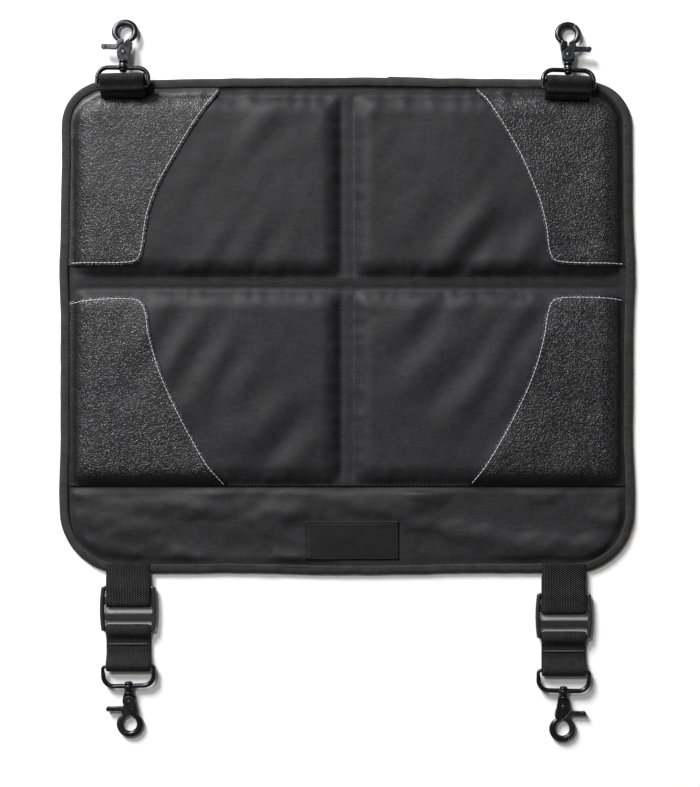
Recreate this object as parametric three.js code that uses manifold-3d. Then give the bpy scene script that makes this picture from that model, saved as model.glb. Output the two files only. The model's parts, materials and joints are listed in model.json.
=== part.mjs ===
// Car seat protector: a padded mat with webbing loops, slide buckles and swivel snap hooks.
// Units are millimetres. The mat lies flat with its top edge towards +Y and its front towards +Z.
// The origin is the middle of the mat's underside, on the surface that the mat lies on.

import * as THREE from 'three';
import { mergeVertices } from 'three/addons/utils/BufferGeometryUtils.js';
import Module from 'manifold-3d';

const wasm = await Module();
wasm.setup();

// Clearance between pieces that touch on the real object
const gap = 0.3;

// How far shapes that form one piece run into each other
const mergeDepth = 0.4;

// Mat outline
const matWidth = 472;
const matHeight = 406;
const topCornerRadius = 37;
const bottomCornerRadius = 50;
const cornerSteps = 9;

// Reach of the cutting shapes, past every piece
const beyond = matWidth;

// Layers of the mat
const clothThickness = 0.6;
const backingThickness = 1.5;
const bindingWidth = 7.4;
const bindingThickness = 0.6;
const clothMargin = 1.2;
const foamThickness = 4.3;
const padDome = 0.9;
const thinnestFoam = 0.1;

// Quilting: one upright and one level channel, and the seam above the bottom band
const uprightChannelWidth = 11;
const levelChannelWidth = 11;
const bandHeight = 71;
const seamY = bandHeight - matHeight / 2;
const levelChannelY = (matHeight / 2 + seamY) / 2;
const sidePadMargin = 13;
const topPadMargin = 13;
const seamPadMargin = 3;
const padRamp = 12;
const padEdge = 4;

// Vinyl corner patches, cut away along one ellipse
const patchThickness = 0.9;
const patchEllipseX = 165;
const patchEllipseY = 203;
const patchEllipseCentreY = 33;
const patchToChannelTop = 10;
const patchToChannelBottom = 7;
const patchToSeam = 1;

// Label on the bottom band
const labelWidth = 77;
const labelHeight = 32;
const labelThickness = 0.4;
const labelX = 4;
const labelMargin = 11.1;
const labelY = labelMargin + labelHeight / 2 - matHeight / 2;

// Webbing
const webbingWidth = 36.4;
const webbingThickness = 1.6;

// Swivel eye
const eyeWidth = 45.3;
const eyeHeight = 20;
const eyeWire = 3;
const eyeCorner = 2.6;
const eyeShoulder = 8.5;
const bossRadius = 3.9;
const bossLength = 5.2;
const stemRadius = 1.6;
const peenRadius = 3.3;
const peenLength = 2;

// Snap hook
const collarRadius = 4.1;
const collarLength = 1.5;
const neckHalfWidth = 4.6;
const halfThickness = 2.15;
const splitGap = 0.3;
const rivetDistance = 9.4;
const rivetShankRadius = 1.4;
const rivetHeadRadius = 2.15;
const rivetHeadHeight = 0.6;
const cheekRadius = 5.8;
const gateDiscRadius = 5.2;
const ringDistance = 18.5;
const ringOuterRadius = 10.9;
const ringInnerRadius = 6;
const ringJointAngle = 122;
const ringJointGap = 2.4;
const armStartAngle = -62;
const gateEndAngle = 242;
const webNotchWidth = 1.1;
const webNotchHigh = 0.6;
const webNotchLow = 2.6;
const leverReach = 19;
const leverWidth = 3.8;
const leverDistance = 5.3;
const leverDrop = 0.9;
const leverTipLength = 1.4;
const rimChamfer = 0.7;
const bossShift = 0.8;
const springRadius = 2.7;
const springWire = 0.5;
const springTurns = 2;
const springPitch = 0.62;

// Slide buckle
const buckleWidth = 47;
const buckleBulge = 1.2;
const railWidth = 3.7;
const railHeight = 4.2;
const barHeight = 3;
const outerBarWidth = 3.7;
const innerBarWidth = 5.5;
const upperSlot = 6.3;
const middleSlot = 7.4;
const lowerSlot = 6.4;
const buckleCorner = 5;

// Where the attachments lie
const tabBarHeight = 15;
const tabFoldReach = 11.2;
const tabRootReach = 7.8;
const strapBarHeight = 4.9;
const eyeSlack = 1.2;
const upperStrapOverlap = 7.7;
const topAttachments = [
  { name: 'top_left', side: -1, inset: 52.6, barInset: 7.4, turn: -0.9, tabTurn: 1.2 },
  { name: 'top_right', side: 1, inset: 55.2, barInset: 9.4, turn: -1.4, tabTurn: -2.2 },
];
const bottomAttachments = [
  { name: 'bottom_left', side: -1, inset: 56, turn: 1.4, buckleDrop: 9.9, strapLength: 27.7 },
  { name: 'bottom_right', side: 1, inset: 57.4, turn: -1.2, buckleDrop: 15.8, strapLength: 25.8 },
];

// How webbing rounds its bends: extra room at a bend, and where its fold's shoulders lie
const bendRoom = 0.2;
const foldShoulderBack = 0.7;
const foldShoulderRise = 0.9;
const strapGatherRun = 9.5;
const strapRiseRun = 6;

// How a top loop rises from its root, turns up past the eye's bar and comes back over it
const tabRootRun = 6;
const tabRootDip = 0.6;
const tabTurnUpLead = 4.2;
const tabFoldLead = 0.7;
const tabFoldDrop = 6;
const tabCrestLead = 3.2;
const tabCrestRise = 0.4;
const tabBackRoom = 1;
const tabReturnRun = 2.4;
const tabReturnRise = 3.2;

// Levels that follow from the layers
const bindingInside = bindingThickness + gap;
const coverLow = backingThickness + gap;
const coverTop = coverLow + clothThickness;
const bindingHeight = coverTop + gap + bindingThickness;

// Shared helpers

function material(colour, roughness, metalness) {
  return new THREE.MeshStandardMaterial({ color: colour, roughness, metalness });
}

function geometryFrom(positions, indices) {
  const geometry = new THREE.BufferGeometry();
  geometry.setAttribute('position', new THREE.Float32BufferAttribute(positions, 3));
  geometry.setIndex(indices);
  return geometry;
}

function toSolid(geometry) {
  const bare = geometry.clone();
  bare.deleteAttribute('normal');
  bare.deleteAttribute('uv');
  const merged = mergeVertices(bare, 1e-4);
  return new wasm.Manifold(new wasm.Mesh({
    numProp: 3,
    vertProperties: new Float32Array(merged.attributes.position.array),
    triVerts: new Uint32Array(merged.index.array),
  }));
}

function fromSolid(solid) {
  const mesh = solid.getMesh();
  return geometryFrom(Array.from(mesh.vertProperties), Array.from(mesh.triVerts));
}

function joined(first, ...others) {
  return others.reduce((sum, other) => sum.add(other), first);
}

function cut(first, ...others) {
  return others.reduce((rest, other) => rest.subtract(other), first);
}

// A prism of a flat outline between two levels
function prism(points, low, high) {
  const shape = new THREE.Shape(points.map(([x, y]) => new THREE.Vector2(x, y)));
  const geometry = new THREE.ExtrudeGeometry(shape, { depth: high - low, bevelEnabled: false });
  return toSolid(geometry.translate(0, 0, low));
}

function box(x0, x1, y0, y1, z0, z1) {
  return prism([[x0, y0], [x1, y0], [x1, y1], [x0, y1]], z0, z1);
}

function arcPoints(cx, cy, radius, fromDegrees, toDegrees, steps) {
  const points = [];
  for (let i = 0; i <= steps; i += 1) {
    const angle = THREE.MathUtils.degToRad(fromDegrees + (toDegrees - fromDegrees) * i / steps);
    points.push([cx + radius * Math.cos(angle), cy + radius * Math.sin(angle)]);
  }
  return points;
}

function disc(cx, cy, radius, low, high, sides = 24) {
  return prism(arcPoints(cx, cy, radius, 0, 360 - 360 / sides, sides - 1), low, high);
}

// A round bar along +Y, as steps of radius and distance
function turned(profile, sides = 16) {
  const points = profile.map(([radius, y]) => new THREE.Vector2(radius, y));
  return toSolid(new THREE.LatheGeometry(points, sides));
}

// The mat's outline, moved inwards by an inset
function outline(inset) {
  const halfWidth = matWidth / 2;
  const halfHeight = matHeight / 2;
  const corners = [
    { x: halfWidth, y: halfHeight, radius: topCornerRadius, start: 0 },
    { x: -halfWidth, y: halfHeight, radius: topCornerRadius, start: 90 },
    { x: -halfWidth, y: -halfHeight, radius: bottomCornerRadius, start: 180 },
    { x: halfWidth, y: -halfHeight, radius: bottomCornerRadius, start: 270 },
  ];
  return corners.flatMap(({ x, y, radius, start }) => arcPoints(
    x - Math.sign(x) * radius, y - Math.sign(y) * radius, radius - inset, start, start + 90, cornerSteps));
}

// A body made of outline loops, each an inset and a level, closed by flat ends or on itself
function loopBody(loops, closedSection) {
  const count = outline(0).length;
  const positions = [];
  const indices = [];
  loops.forEach(([inset, z]) => outline(inset).forEach(([x, y]) => positions.push(x, y, z)));
  const bands = closedSection ? loops.length : loops.length - 1;
  for (let band = 0; band < bands; band += 1) {
    const next = (band + 1) % loops.length;
    for (let i = 0; i < count; i += 1) {
      const j = (i + 1) % count;
      const a = band * count + i;
      const b = band * count + j;
      const c = next * count + j;
      const d = next * count + i;
      indices.push(a, b, c, a, c, d);
    }
  }
  if (!closedSection) {
    const low = positions.length / 3;
    positions.push(0, 0, loops[0][1], 0, 0, loops[loops.length - 1][1]);
    const last = (loops.length - 1) * count;
    for (let i = 0; i < count; i += 1) {
      const j = (i + 1) % count;
      indices.push(low, j, i, low + 1, last + i, last + j);
    }
  }
  return geometryFrom(positions, indices);
}

// A thin body over a grid, between two level functions
function gridBody(xs, ys, low, high) {
  const positions = [];
  const indices = [];
  const columns = xs.length;
  const rows = ys.length;
  const layer = columns * rows;
  [low, high].forEach((level) => ys.forEach((y) => xs.forEach((x) => positions.push(x, y, level(x, y)))));
  const at = (i, j) => j * columns + i;
  for (let j = 0; j < rows - 1; j += 1) {
    for (let i = 0; i < columns - 1; i += 1) {
      const [a, b, c, d] = [at(i, j), at(i + 1, j), at(i + 1, j + 1), at(i, j + 1)];
      indices.push(a, c, b, a, d, c);
      indices.push(layer + a, layer + b, layer + c, layer + a, layer + c, layer + d);
    }
  }
  const wall = (a, b) => indices.push(a, b, layer + b, a, layer + b, layer + a);
  for (let i = 0; i < columns - 1; i += 1) {
    wall(at(i, 0), at(i + 1, 0));
    wall(at(i + 1, rows - 1), at(i, rows - 1));
  }
  for (let j = 0; j < rows - 1; j += 1) {
    wall(at(columns - 1, j), at(columns - 1, j + 1));
    wall(at(0, j + 1), at(0, j));
  }
  return geometryFrom(positions, indices);
}

// Webbing: a route in the YZ plane, thickened both ways and as wide as the webbing
function webbing(route, closed, samples) {
  const curve = new THREE.CatmullRomCurve3(
    route.map(([y, z]) => new THREE.Vector3(y, z, 0)), closed, 'centripetal');
  const count = closed ? samples : samples + 1;
  const [outer, inner] = [-1, 1].map((side) => Array.from({ length: count }, (_, i) => {
    const point = curve.getPointAt(i / samples);
    const along = curve.getTangentAt(i / samples);
    const shift = side * webbingThickness / 2;
    return [point.x + along.y * shift, point.y - along.x * shift];
  }));
  const half = webbingWidth / 2;
  const body = closed
    ? prism(outer, -half, half).subtract(prism(inner, -webbingWidth, webbingWidth))
    : prism([...outer, ...inner.reverse()], -half, half);
  const turn = new THREE.Matrix4().makeBasis(
    new THREE.Vector3(0, 1, 0), new THREE.Vector3(0, 0, 1), new THREE.Vector3(1, 0, 0));
  return fromSolid(body).applyMatrix4(turn);
}

// Mat

const channelHalf = uprightChannelWidth / 2;
const padColumns = [
  { name: 'left', low: -matWidth / 2 + sidePadMargin, high: -channelHalf },
  { name: 'right', low: channelHalf, high: matWidth / 2 - sidePadMargin },
];
const padRows = [
  { name: 'lower', low: seamY + seamPadMargin, high: levelChannelY - levelChannelWidth / 2 },
  { name: 'upper', low: levelChannelY + levelChannelWidth / 2, high: matHeight / 2 - topPadMargin },
];

function padLines({ low, high }) {
  return [low, low + padEdge, low + padRamp, (low + high) / 2, high - padRamp, high - padEdge, high];
}

function rise(value, { low, high }) {
  const edge = Math.min(value - low, high - value);
  if (edge <= 0) return { ramp: 0, dome: 0 };
  const ramp = Math.sin(Math.PI / 2 * Math.min(1, edge / padRamp));
  return { ramp, dome: Math.sin(Math.PI * (value - low) / (high - low)) };
}

// How far a point lies inside the mat's outline, round its corners too
function insetAt(x, y) {
  const radius = y > 0 ? topCornerRadius : bottomCornerRadius;
  const dx = Math.abs(x) - (matWidth / 2 - radius);
  const dy = Math.abs(y) - (matHeight / 2 - radius);
  if (dx > 0 && dy > 0) return radius - Math.hypot(dx, dy);
  return radius - Math.max(dx, dy);
}

// Height of the quilted front above its sewn channels
function crown(x, y) {
  const fromEdge = Math.max(0, insetAt(x, y) - Math.min(sidePadMargin, topPadMargin));
  const edgeRamp = Math.sin(Math.PI / 2 * Math.min(1, fromEdge / padRamp));
  let height = 0;
  padColumns.forEach((column) => padRows.forEach((row) => {
    const across = rise(x, column);
    const along = rise(y, row);
    const full = foamThickness + gap + padDome * across.dome * along.dome;
    height = Math.max(height, full * Math.min(edgeRamp, across.ramp * along.ramp));
  }));
  return height;
}

const coverColumns = [-matWidth / 2, ...padColumns.flatMap(padLines), matWidth / 2];
const coverRows = [seamY, ...padRows.flatMap(padLines), matHeight / 2];
const clothEdge = prism(outline(clothMargin), 0, beyond);
const padEdgeOutline = prism(outline(Math.max(sidePadMargin, topPadMargin) + padEdge), 0, beyond);
const insideBinding = prism(outline(bindingWidth + gap), 0, beyond);

function makeFrontCover() {
  const sheet = toSolid(gridBody(coverColumns, coverRows,
    (x, y) => coverLow + crown(x, y), (x, y) => coverTop + crown(x, y)));
  return fromSolid(sheet.intersect(clothEdge));
}

function makePad(column, row) {
  const inner = ({ low, high }) => padLines({ low, high }).filter((line) => line > low && line < high);
  const sheet = toSolid(gridBody(inner(column), inner(row), () => coverLow,
    (x, y) => coverLow + Math.max(thinnestFoam, crown(x, y) - gap)));
  return fromSolid(sheet.intersect(padEdgeOutline));
}

function makeBottomBand() {
  const sheet = box(-matWidth / 2, matWidth / 2, -matHeight / 2, seamY - gap, coverLow, coverTop);
  return fromSolid(sheet.intersect(clothEdge));
}

function makeBackCover() {
  const shoulder = bindingWidth + gap;
  return loopBody([
    [shoulder + bindingInside, 0],
    [shoulder, bindingInside],
    [clothMargin, bindingInside],
    [clothMargin, backingThickness],
  ], false);
}

function makeBinding() {
  return loopBody([
    [0, 0],
    [0, bindingHeight],
    [bindingWidth, bindingHeight],
    [bindingWidth, bindingHeight - bindingThickness],
    [bindingThickness, bindingHeight - bindingThickness],
    [bindingThickness, bindingThickness],
    [bindingWidth, bindingThickness],
    [bindingWidth, 0],
  ], true);
}

const patchSheet = toSolid(gridBody(coverColumns, coverRows,
  (x, y) => coverTop + gap + crown(x, y),
  (x, y) => coverTop + gap + patchThickness + crown(x, y))).intersect(insideBinding);
const ellipseSides = 48;
const patchCutaway = prism(Array.from({ length: ellipseSides }, (_, i) => {
  const angle = 2 * Math.PI * i / ellipseSides;
  return [patchEllipseX * Math.cos(angle), patchEllipseCentreY + patchEllipseY * Math.sin(angle)];
}), 0, beyond);

function makePatch(side, upper) {
  const x0 = side < 0 ? -matWidth / 2 : 0;
  const y0 = upper ? padRows[1].low + patchToChannelTop : seamY + patchToSeam;
  const y1 = upper ? matHeight / 2 : padRows[0].high - patchToChannelBottom;
  const corner = box(x0, x0 + matWidth / 2, y0, y1, 0, beyond);
  return fromSolid(patchSheet.intersect(corner).subtract(patchCutaway));
}

function makeLabel() {
  const low = coverTop + gap;
  const [left, bottom] = [labelX - labelWidth / 2, labelY - labelHeight / 2];
  return fromSolid(box(left, left + labelWidth, bottom, bottom + labelHeight, low, low + labelThickness));
}

// Webbing loops and straps, in the YZ plane of their attachment

const halfWeb = webbingThickness / 2;

function attachmentX({ side, inset }) {
  return side * (matWidth / 2 - inset);
}

function tabBarY({ barInset }) {
  return matHeight / 2 - barInset;
}

function makeTab(attachment) {
  const barY = tabBarY(attachment);
  const rest = bindingHeight + gap + halfWeb;
  const root = barY - tabRootReach;
  const patchTop = coverTop + gap + patchThickness + crown(attachmentX(attachment), root);
  const rootLow = patchTop + gap + halfWeb;
  const rootHigh = rootLow + gap + webbingThickness;
  const fold = barY + tabFoldReach - halfWeb;
  const around = eyeWire / 2 + gap + bendRoom + halfWeb;
  const over = tabBarHeight + around;
  return webbing([
    [root, rootLow],
    [root + tabRootRun, Math.max(rest, rootLow - tabRootDip)],
    [fold - tabTurnUpLead, rest + bendRoom],
    [fold - tabFoldLead, tabBarHeight - tabFoldDrop],
    [fold, tabBarHeight - halfWeb],
    [fold - tabCrestLead, over + tabCrestRise],
    [barY, over],
    [barY - (around + tabBackRoom) * Math.SQRT1_2, tabBarHeight + around * Math.SQRT1_2],
    [barY - around - tabBackRoom, tabBarHeight - halfWeb],
    [root + tabReturnRun, rootHigh + tabReturnRise],
    [root, rootHigh],
  ], false, 30);
}

function buckleLines(drop) {
  const top = -matHeight / 2 - drop;
  const bar1 = top - outerBarWidth;
  const bar2 = bar1 - upperSlot - innerBarWidth;
  const bar3 = bar2 - middleSlot - innerBarWidth;
  const bottom = bar3 - lowerSlot - outerBarWidth;
  return { top, bar1, bar2, bar3, bottom };
}

const layLow = halfWeb;
const layHigh = layLow + webbingThickness + gap;
const barLow = webbingThickness + gap + bendRoom;
const overBar = barLow + barHeight + gap + bendRoom + halfWeb;
const foldReach = gap + bendRoom + webbingThickness;

function makeUpperStrap(drop) {
  const { top, bar1, bar2 } = buckleLines(drop);
  const edge = -matHeight / 2;
  const onMat = bindingHeight + gap + halfWeb;
  const fold = bar2 - foldReach;
  return webbing([
    [edge + upperStrapOverlap, onMat],
    [edge - webbingThickness, onMat],
    [top + 2 * webbingThickness, (onMat + overBar) / 2],
    [top - webbingThickness, overBar],
    [(bar1 + bar2) / 2, overBar],
    [bar2 + foldShoulderBack, overBar + bendRoom / 2],
    [fold + foldShoulderBack, overBar - foldShoulderRise],
    [fold, (layLow + overBar) / 2],
    [fold + foldShoulderBack, layLow + foldShoulderRise],
    [bar2 + foldShoulderBack, layLow + bendRoom / 2],
    [bar2 + innerBarWidth, layLow + bendRoom / 2],
    [bar1, layLow],
    [top, layLow],
    [edge - 2 * webbingThickness, layLow],
  ], false, 34);
}

function eyeBarY(drop, length) {
  return buckleLines(drop).bottom - length;
}

function makeLowerStrap(drop, length) {
  const { bar3, bottom } = buckleLines(drop);
  const barTop = bar3 - lowerSlot;
  const eye = eyeBarY(drop, length);
  const around = eyeWire / 2 + gap + bendRoom + halfWeb;
  const eyeCentre = eye - eyeSlack;
  const middle = (bottom + eye) / 2;
  const fold = barTop + foldReach;
  return webbing([
    [fold, (layLow + overBar) / 2],
    [fold - foldShoulderBack, layLow + foldShoulderRise],
    [barTop - foldShoulderBack, layLow + bendRoom / 2],
    [bottom - 2 * webbingThickness, layLow + bendRoom],
    [middle, layLow + bendRoom / 2],
    [eye + strapGatherRun, layLow + gap],
    [eye + eyeSlack, strapBarHeight - around - bendRoom],
    [eyeCentre, strapBarHeight - around],
    [eyeCentre - around, strapBarHeight],
    [eyeCentre, strapBarHeight + around],
    [eye + eyeSlack, strapBarHeight + around + bendRoom / 2],
    [eye + strapGatherRun, layHigh + 2 * gap],
    [middle, layHigh + gap],
    [bottom - strapRiseRun, layHigh + 2 * gap],
    [bottom - gap, overBar],
    [barTop - foldShoulderBack, overBar + bendRoom / 2],
    [fold - foldShoulderBack, overBar - foldShoulderRise],
  ], true, 44);
}

function makeBuckle() {
  const { top, bar1, bar2, bar3, bottom } = buckleLines(0);
  const half = buckleWidth / 2;
  const middle = (top + bottom) / 2;
  const side = (x0, y, radius, from) => arcPoints(x0, y, radius, from, from + 90, 4);
  const frame = prism([
    ...side(half - buckleBulge - buckleCorner, top - buckleCorner, buckleCorner, 0),
    ...side(-half + buckleBulge + buckleCorner, top - buckleCorner, buckleCorner, 90),
    [-half, middle],
    ...side(-half + buckleBulge + buckleCorner, bottom + buckleCorner, buckleCorner, 180),
    ...side(half - buckleBulge - buckleCorner, bottom + buckleCorner, buckleCorner, 270),
    [half, middle],
  ], barLow, barLow + railHeight);
  const inner = half - buckleBulge - railWidth + gap;
  const slots = [[bar1, bar1 - upperSlot], [bar2, bar2 - middleSlot], [bar3, bar3 - lowerSlot]];
  const openings = slots.map(([high, low]) => box(-inner, inner, low, high, 0, beyond));
  const bed = box(-inner, inner, bottom - railWidth, top + railWidth, barLow + barHeight, beyond);
  return fromSolid(cut(frame, bed, ...openings));
}

// Swivel eye and snap hook: their own frame has its origin on the eye's bar and +Y towards the hook

const wireX = (eyeWidth - eyeWire) / 2;
const wireY = eyeHeight - eyeWire;
const bossLow = wireY - bossLength / 2 + bossShift;
const bossHigh = bossLow + bossLength;
const collarLow = bossHigh + gap;
const neckLow = collarLow + collarLength - mergeDepth;
const rivetY = bossHigh + rivetDistance;
const ringY = rivetY + ringDistance;

// The eye's wire runs square round the webbing's side and in wide shoulders to the boss
function makeEye() {
  const bends = [
    { x: wireX - eyeCorner, y: eyeCorner, radius: eyeCorner, start: -90, steps: 3 },
    { x: wireX - eyeShoulder, y: wireY - eyeShoulder, radius: eyeShoulder, start: 0, steps: 5 },
    { x: eyeShoulder - wireX, y: wireY - eyeShoulder, radius: eyeShoulder, start: 90, steps: 5 },
    { x: eyeCorner - wireX, y: eyeCorner, radius: eyeCorner, start: 180, steps: 3 },
  ];
  const path = bends.flatMap(({ x, y, radius, start, steps }) => (
    arcPoints(0, 0, 1, start, start + 90, steps).map(([cos, sin]) => (
      { x: x + radius * cos, y: y + radius * sin, cos, sin }))));
  const sides = 8;
  const positions = [];
  const indices = [];
  path.forEach(({ x, y, cos, sin }) => {
    for (let k = 0; k < sides; k += 1) {
      const angle = 2 * Math.PI * (k + 0.5) / sides;
      const out = eyeWire / 2 * Math.cos(angle);
      positions.push(x + cos * out, y + sin * out, eyeWire / 2 * Math.sin(angle));
    }
  });
  path.forEach((_, i) => {
    const next = (i + 1) % path.length;
    for (let k = 0; k < sides; k += 1) {
      const l = (k + 1) % sides;
      const [a, b, c, d] = [i * sides + k, next * sides + k, next * sides + l, i * sides + l];
      indices.push(a, b, c, a, c, d);
    }
  });
  const loop = toSolid(geometryFrom(positions, indices));
  const boss = turned([[0, bossLow], [bossRadius, bossLow], [bossRadius, bossHigh], [0, bossHigh]]);
  const bore = turned([
    [0, bossLow - bossLength],
    [stemRadius + gap, bossLow - bossLength],
    [stemRadius + gap, bossHigh + bossLength],
    [0, bossHigh + bossLength],
  ]);
  return fromSolid(joined(loop, boss).subtract(bore));
}

const springRoomHalf = halfThickness - rimChamfer;
const springRoom = disc(0, rivetY, springRadius + springWire + gap, -springRoomHalf, springRoomHalf);
const rivetHole = disc(0, rivetY, rivetShankRadius + gap, -beyond, beyond, 16);
const ringHole = disc(0, ringY, ringInnerRadius, -beyond, beyond, 28);
const discRoom = disc(0, rivetY, gateDiscRadius + gap, -beyond, splitGap / 2, 28);
const cheekRoom = disc(0, rivetY, cheekRadius + gap, -splitGap / 2, beyond, 28);

// Half of the ring with its web down to the pivot, as a flat outline
function ringHalf(fromDegrees, toDegrees, side) {
  return prism([
    [side * splitGap, rivetY],
    [side * (gateDiscRadius - mergeDepth), rivetY + 1],
    ...arcPoints(0, ringY, ringOuterRadius, fromDegrees, toDegrees, 12),
    ...arcPoints(0, ringY, ringInnerRadius - 1, toDegrees, fromDegrees, 12),
    [side * (splitGap + webNotchWidth), ringY - ringInnerRadius - webNotchHigh],
    [side * splitGap, ringY - ringInnerRadius - webNotchLow],
  ], -halfThickness, halfThickness);
}

function makeHook() {
  const stem = turned([
    [0, bossLow - gap - peenLength],
    [peenRadius - rimChamfer, bossLow - gap - peenLength],
    [peenRadius, bossLow - gap - peenLength + rimChamfer],
    [peenRadius, bossLow - gap],
    [stemRadius, bossLow - gap],
    [stemRadius, collarLow],
    [collarRadius, collarLow],
    [collarRadius, collarLow + collarLength],
    [0, collarLow + collarLength],
  ]);
  const neckTop = rivetY - gateDiscRadius - gap;
  const neckLowHalf = collarRadius - gap;
  const neck = prism([
    [-neckLowHalf, neckLow],
    [neckLowHalf, neckLow],
    [neckHalfWidth, neckTop],
    [-neckHalfWidth, neckTop],
  ], -halfThickness, halfThickness);
  const cheekRoot = prism([
    [-neckHalfWidth, neckTop - mergeDepth],
    [neckHalfWidth, neckTop - mergeDepth],
    [cheekRadius, rivetY],
    [-cheekRadius, rivetY],
  ], splitGap / 2, halfThickness);
  const cheek = disc(0, rivetY, cheekRadius, splitGap / 2, halfThickness, 28).add(cheekRoot);
  const arm = ringHalf(armStartAngle, ringJointAngle, 1).subtract(discRoom);
  return fromSolid(cut(joined(stem, neck, cheek, arm), rivetHole, springRoom, ringHole));
}

function makeGate() {
  const plate = disc(0, rivetY, gateDiscRadius, -halfThickness, -splitGap / 2, 28);
  const arm = ringHalf(gateEndAngle, ringJointAngle + ringJointGap, -1);
  const leverLow = rivetY + leverDistance - leverWidth / 2;
  const leverTop = halfThickness - leverDrop;
  const leverRoot = leverWidth - gateDiscRadius;
  const lever = box(-leverReach, leverRoot, leverLow, leverLow + leverWidth, -halfThickness, leverTop);
  const tip = box(-leverReach, leverTipLength - leverReach, leverLow - mergeDepth,
    leverLow + leverWidth, -halfThickness, leverTop + mergeDepth);
  const outer = joined(arm, lever, tip).subtract(cheekRoom);
  return fromSolid(cut(joined(plate, outer), rivetHole, springRoom, ringHole));
}

function makeRivet() {
  const face = halfThickness + gap;
  const geometry = new THREE.LatheGeometry([
    [0, -face - rivetHeadHeight],
    [rivetHeadRadius - rimChamfer, -face - rivetHeadHeight],
    [rivetHeadRadius, -face],
    [rivetShankRadius, -face],
    [rivetShankRadius, face],
    [rivetHeadRadius, face],
    [rivetHeadRadius - rimChamfer, face + rivetHeadHeight],
    [0, face + rivetHeadHeight],
  ].map(([radius, y]) => new THREE.Vector2(radius, y)), 12);
  return fromSolid(toSolid(geometry.rotateX(Math.PI / 2).translate(0, rivetY, 0)));
}

function makeSpring() {
  const stepsPerTurn = 14;
  const steps = springTurns * stepsPerTurn;
  const sides = 5;
  const positions = [];
  const indices = [];
  for (let i = 0; i <= steps; i += 1) {
    const turn = i / stepsPerTurn;
    const angle = 2 * Math.PI * turn;
    const level = (turn - springTurns / 2) * springPitch;
    for (let k = 0; k < sides; k += 1) {
      const around = 2 * Math.PI * k / sides;
      const radius = springRadius + springWire / 2 * Math.cos(around);
      positions.push(radius * Math.cos(angle), rivetY + radius * Math.sin(angle),
        level + springWire / 2 * Math.sin(around));
    }
  }
  for (let i = 0; i < steps; i += 1) {
    for (let k = 0; k < sides; k += 1) {
      const l = (k + 1) % sides;
      const [a, b, c, d] = [i * sides + k, (i + 1) * sides + k, (i + 1) * sides + l, i * sides + l];
      indices.push(a, b, c, a, c, d);
    }
  }
  for (let k = 1; k < sides - 1; k += 1) {
    indices.push(0, k, k + 1);
    indices.push(steps * sides, steps * sides + k + 1, steps * sides + k);
  }
  return geometryFrom(positions, indices);
}

// Assembly

const part = new THREE.Group();

const clothBlack = () => material(0x26262a, 0.9, 0);
const foamGrey = () => material(0x8c8c8c, 0.95, 0);
const vinylBlack = () => material(0x1d1d20, 0.45, 0);
const tapeBlack = () => material(0x2b2b2a, 0.85, 0);
const webbingBlack = () => material(0x161617, 0.8, 0);
const plasticBlack = () => material(0x303236, 0.5, 0);
const metalBlack = () => material(0x2a2b2d, 0.3, 0.9);
const steelGrey = () => material(0x8a8c90, 0.35, 1);

function add(holder, name, geometry, look) {
  const mesh = new THREE.Mesh(geometry, look);
  mesh.name = name;
  holder.add(mesh);
}

add(part, 'back_cover', makeBackCover(), clothBlack());
add(part, 'front_cover', makeFrontCover(), clothBlack());
add(part, 'bottom_band', makeBottomBand(), clothBlack());
add(part, 'edge_binding', makeBinding(), tapeBlack());
add(part, 'label', makeLabel(), tapeBlack());
padColumns.forEach((column) => padRows.forEach((row) => {
  add(part, `pad_${row.name}_${column.name}`, makePad(column, row), foamGrey());
}));
[['left', -1], ['right', 1]].forEach(([sideName, side]) => {
  add(part, `patch_upper_${sideName}`, makePatch(side, true), vinylBlack());
  add(part, `patch_lower_${sideName}`, makePatch(side, false), vinylBlack());
});

// The free end of each hook lies on the surface, which sets how far the eye and hook tilt
const hookLength = ringY + ringOuterRadius;

function hookGroup(barY, barLevel, attachment, top) {
  const tilt = Math.asin((barLevel - halfThickness) / hookLength);
  const flipped = (attachment.side < 0) !== top;
  const upright = new THREE.Group();
  upright.rotation.y = flipped ? Math.PI : 0;
  const tilted = new THREE.Group();
  tilted.rotation.x = -tilt;
  tilted.add(upright);
  const placed = new THREE.Group();
  placed.rotation.z = THREE.MathUtils.degToRad(attachment.turn) + (top ? 0 : Math.PI);
  placed.position.set(attachmentX(attachment), barY, barLevel);
  placed.add(tilted);
  part.add(placed);
  return upright;
}

function addMetal(barY, barLevel, attachment, top) {
  const metal = hookGroup(barY, barLevel, attachment, top);
  add(metal, `eye_${attachment.name}`, makeEye(), metalBlack());
  add(metal, `hook_${attachment.name}`, makeHook(), metalBlack());
  add(metal, `gate_${attachment.name}`, makeGate(), metalBlack());
  add(metal, `rivet_${attachment.name}`, makeRivet(), metalBlack());
  add(metal, `spring_${attachment.name}`, makeSpring(), steelGrey());
}

topAttachments.forEach((attachment) => {
  const loop = new THREE.Group();
  const barY = tabBarY(attachment);
  loop.position.set(attachmentX(attachment), barY, 0);
  loop.rotation.z = THREE.MathUtils.degToRad(attachment.tabTurn);
  part.add(loop);
  add(loop, `tab_${attachment.name}`, makeTab(attachment).translate(0, -barY, 0), webbingBlack());
  addMetal(barY, tabBarHeight, attachment, true);
});

bottomAttachments.forEach((attachment) => {
  const { name, buckleDrop, strapLength } = attachment;
  const straps = new THREE.Group();
  straps.position.x = attachmentX(attachment);
  part.add(straps);
  add(straps, `upper_strap_${name}`, makeUpperStrap(buckleDrop), webbingBlack());
  add(straps, `lower_strap_${name}`, makeLowerStrap(buckleDrop, strapLength), webbingBlack());
  add(straps, `buckle_${name}`, makeBuckle().translate(0, -buckleDrop, 0), plasticBlack());
  addMetal(eyeBarY(buckleDrop, strapLength), strapBarHeight, attachment, false);
});

export default part;
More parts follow.
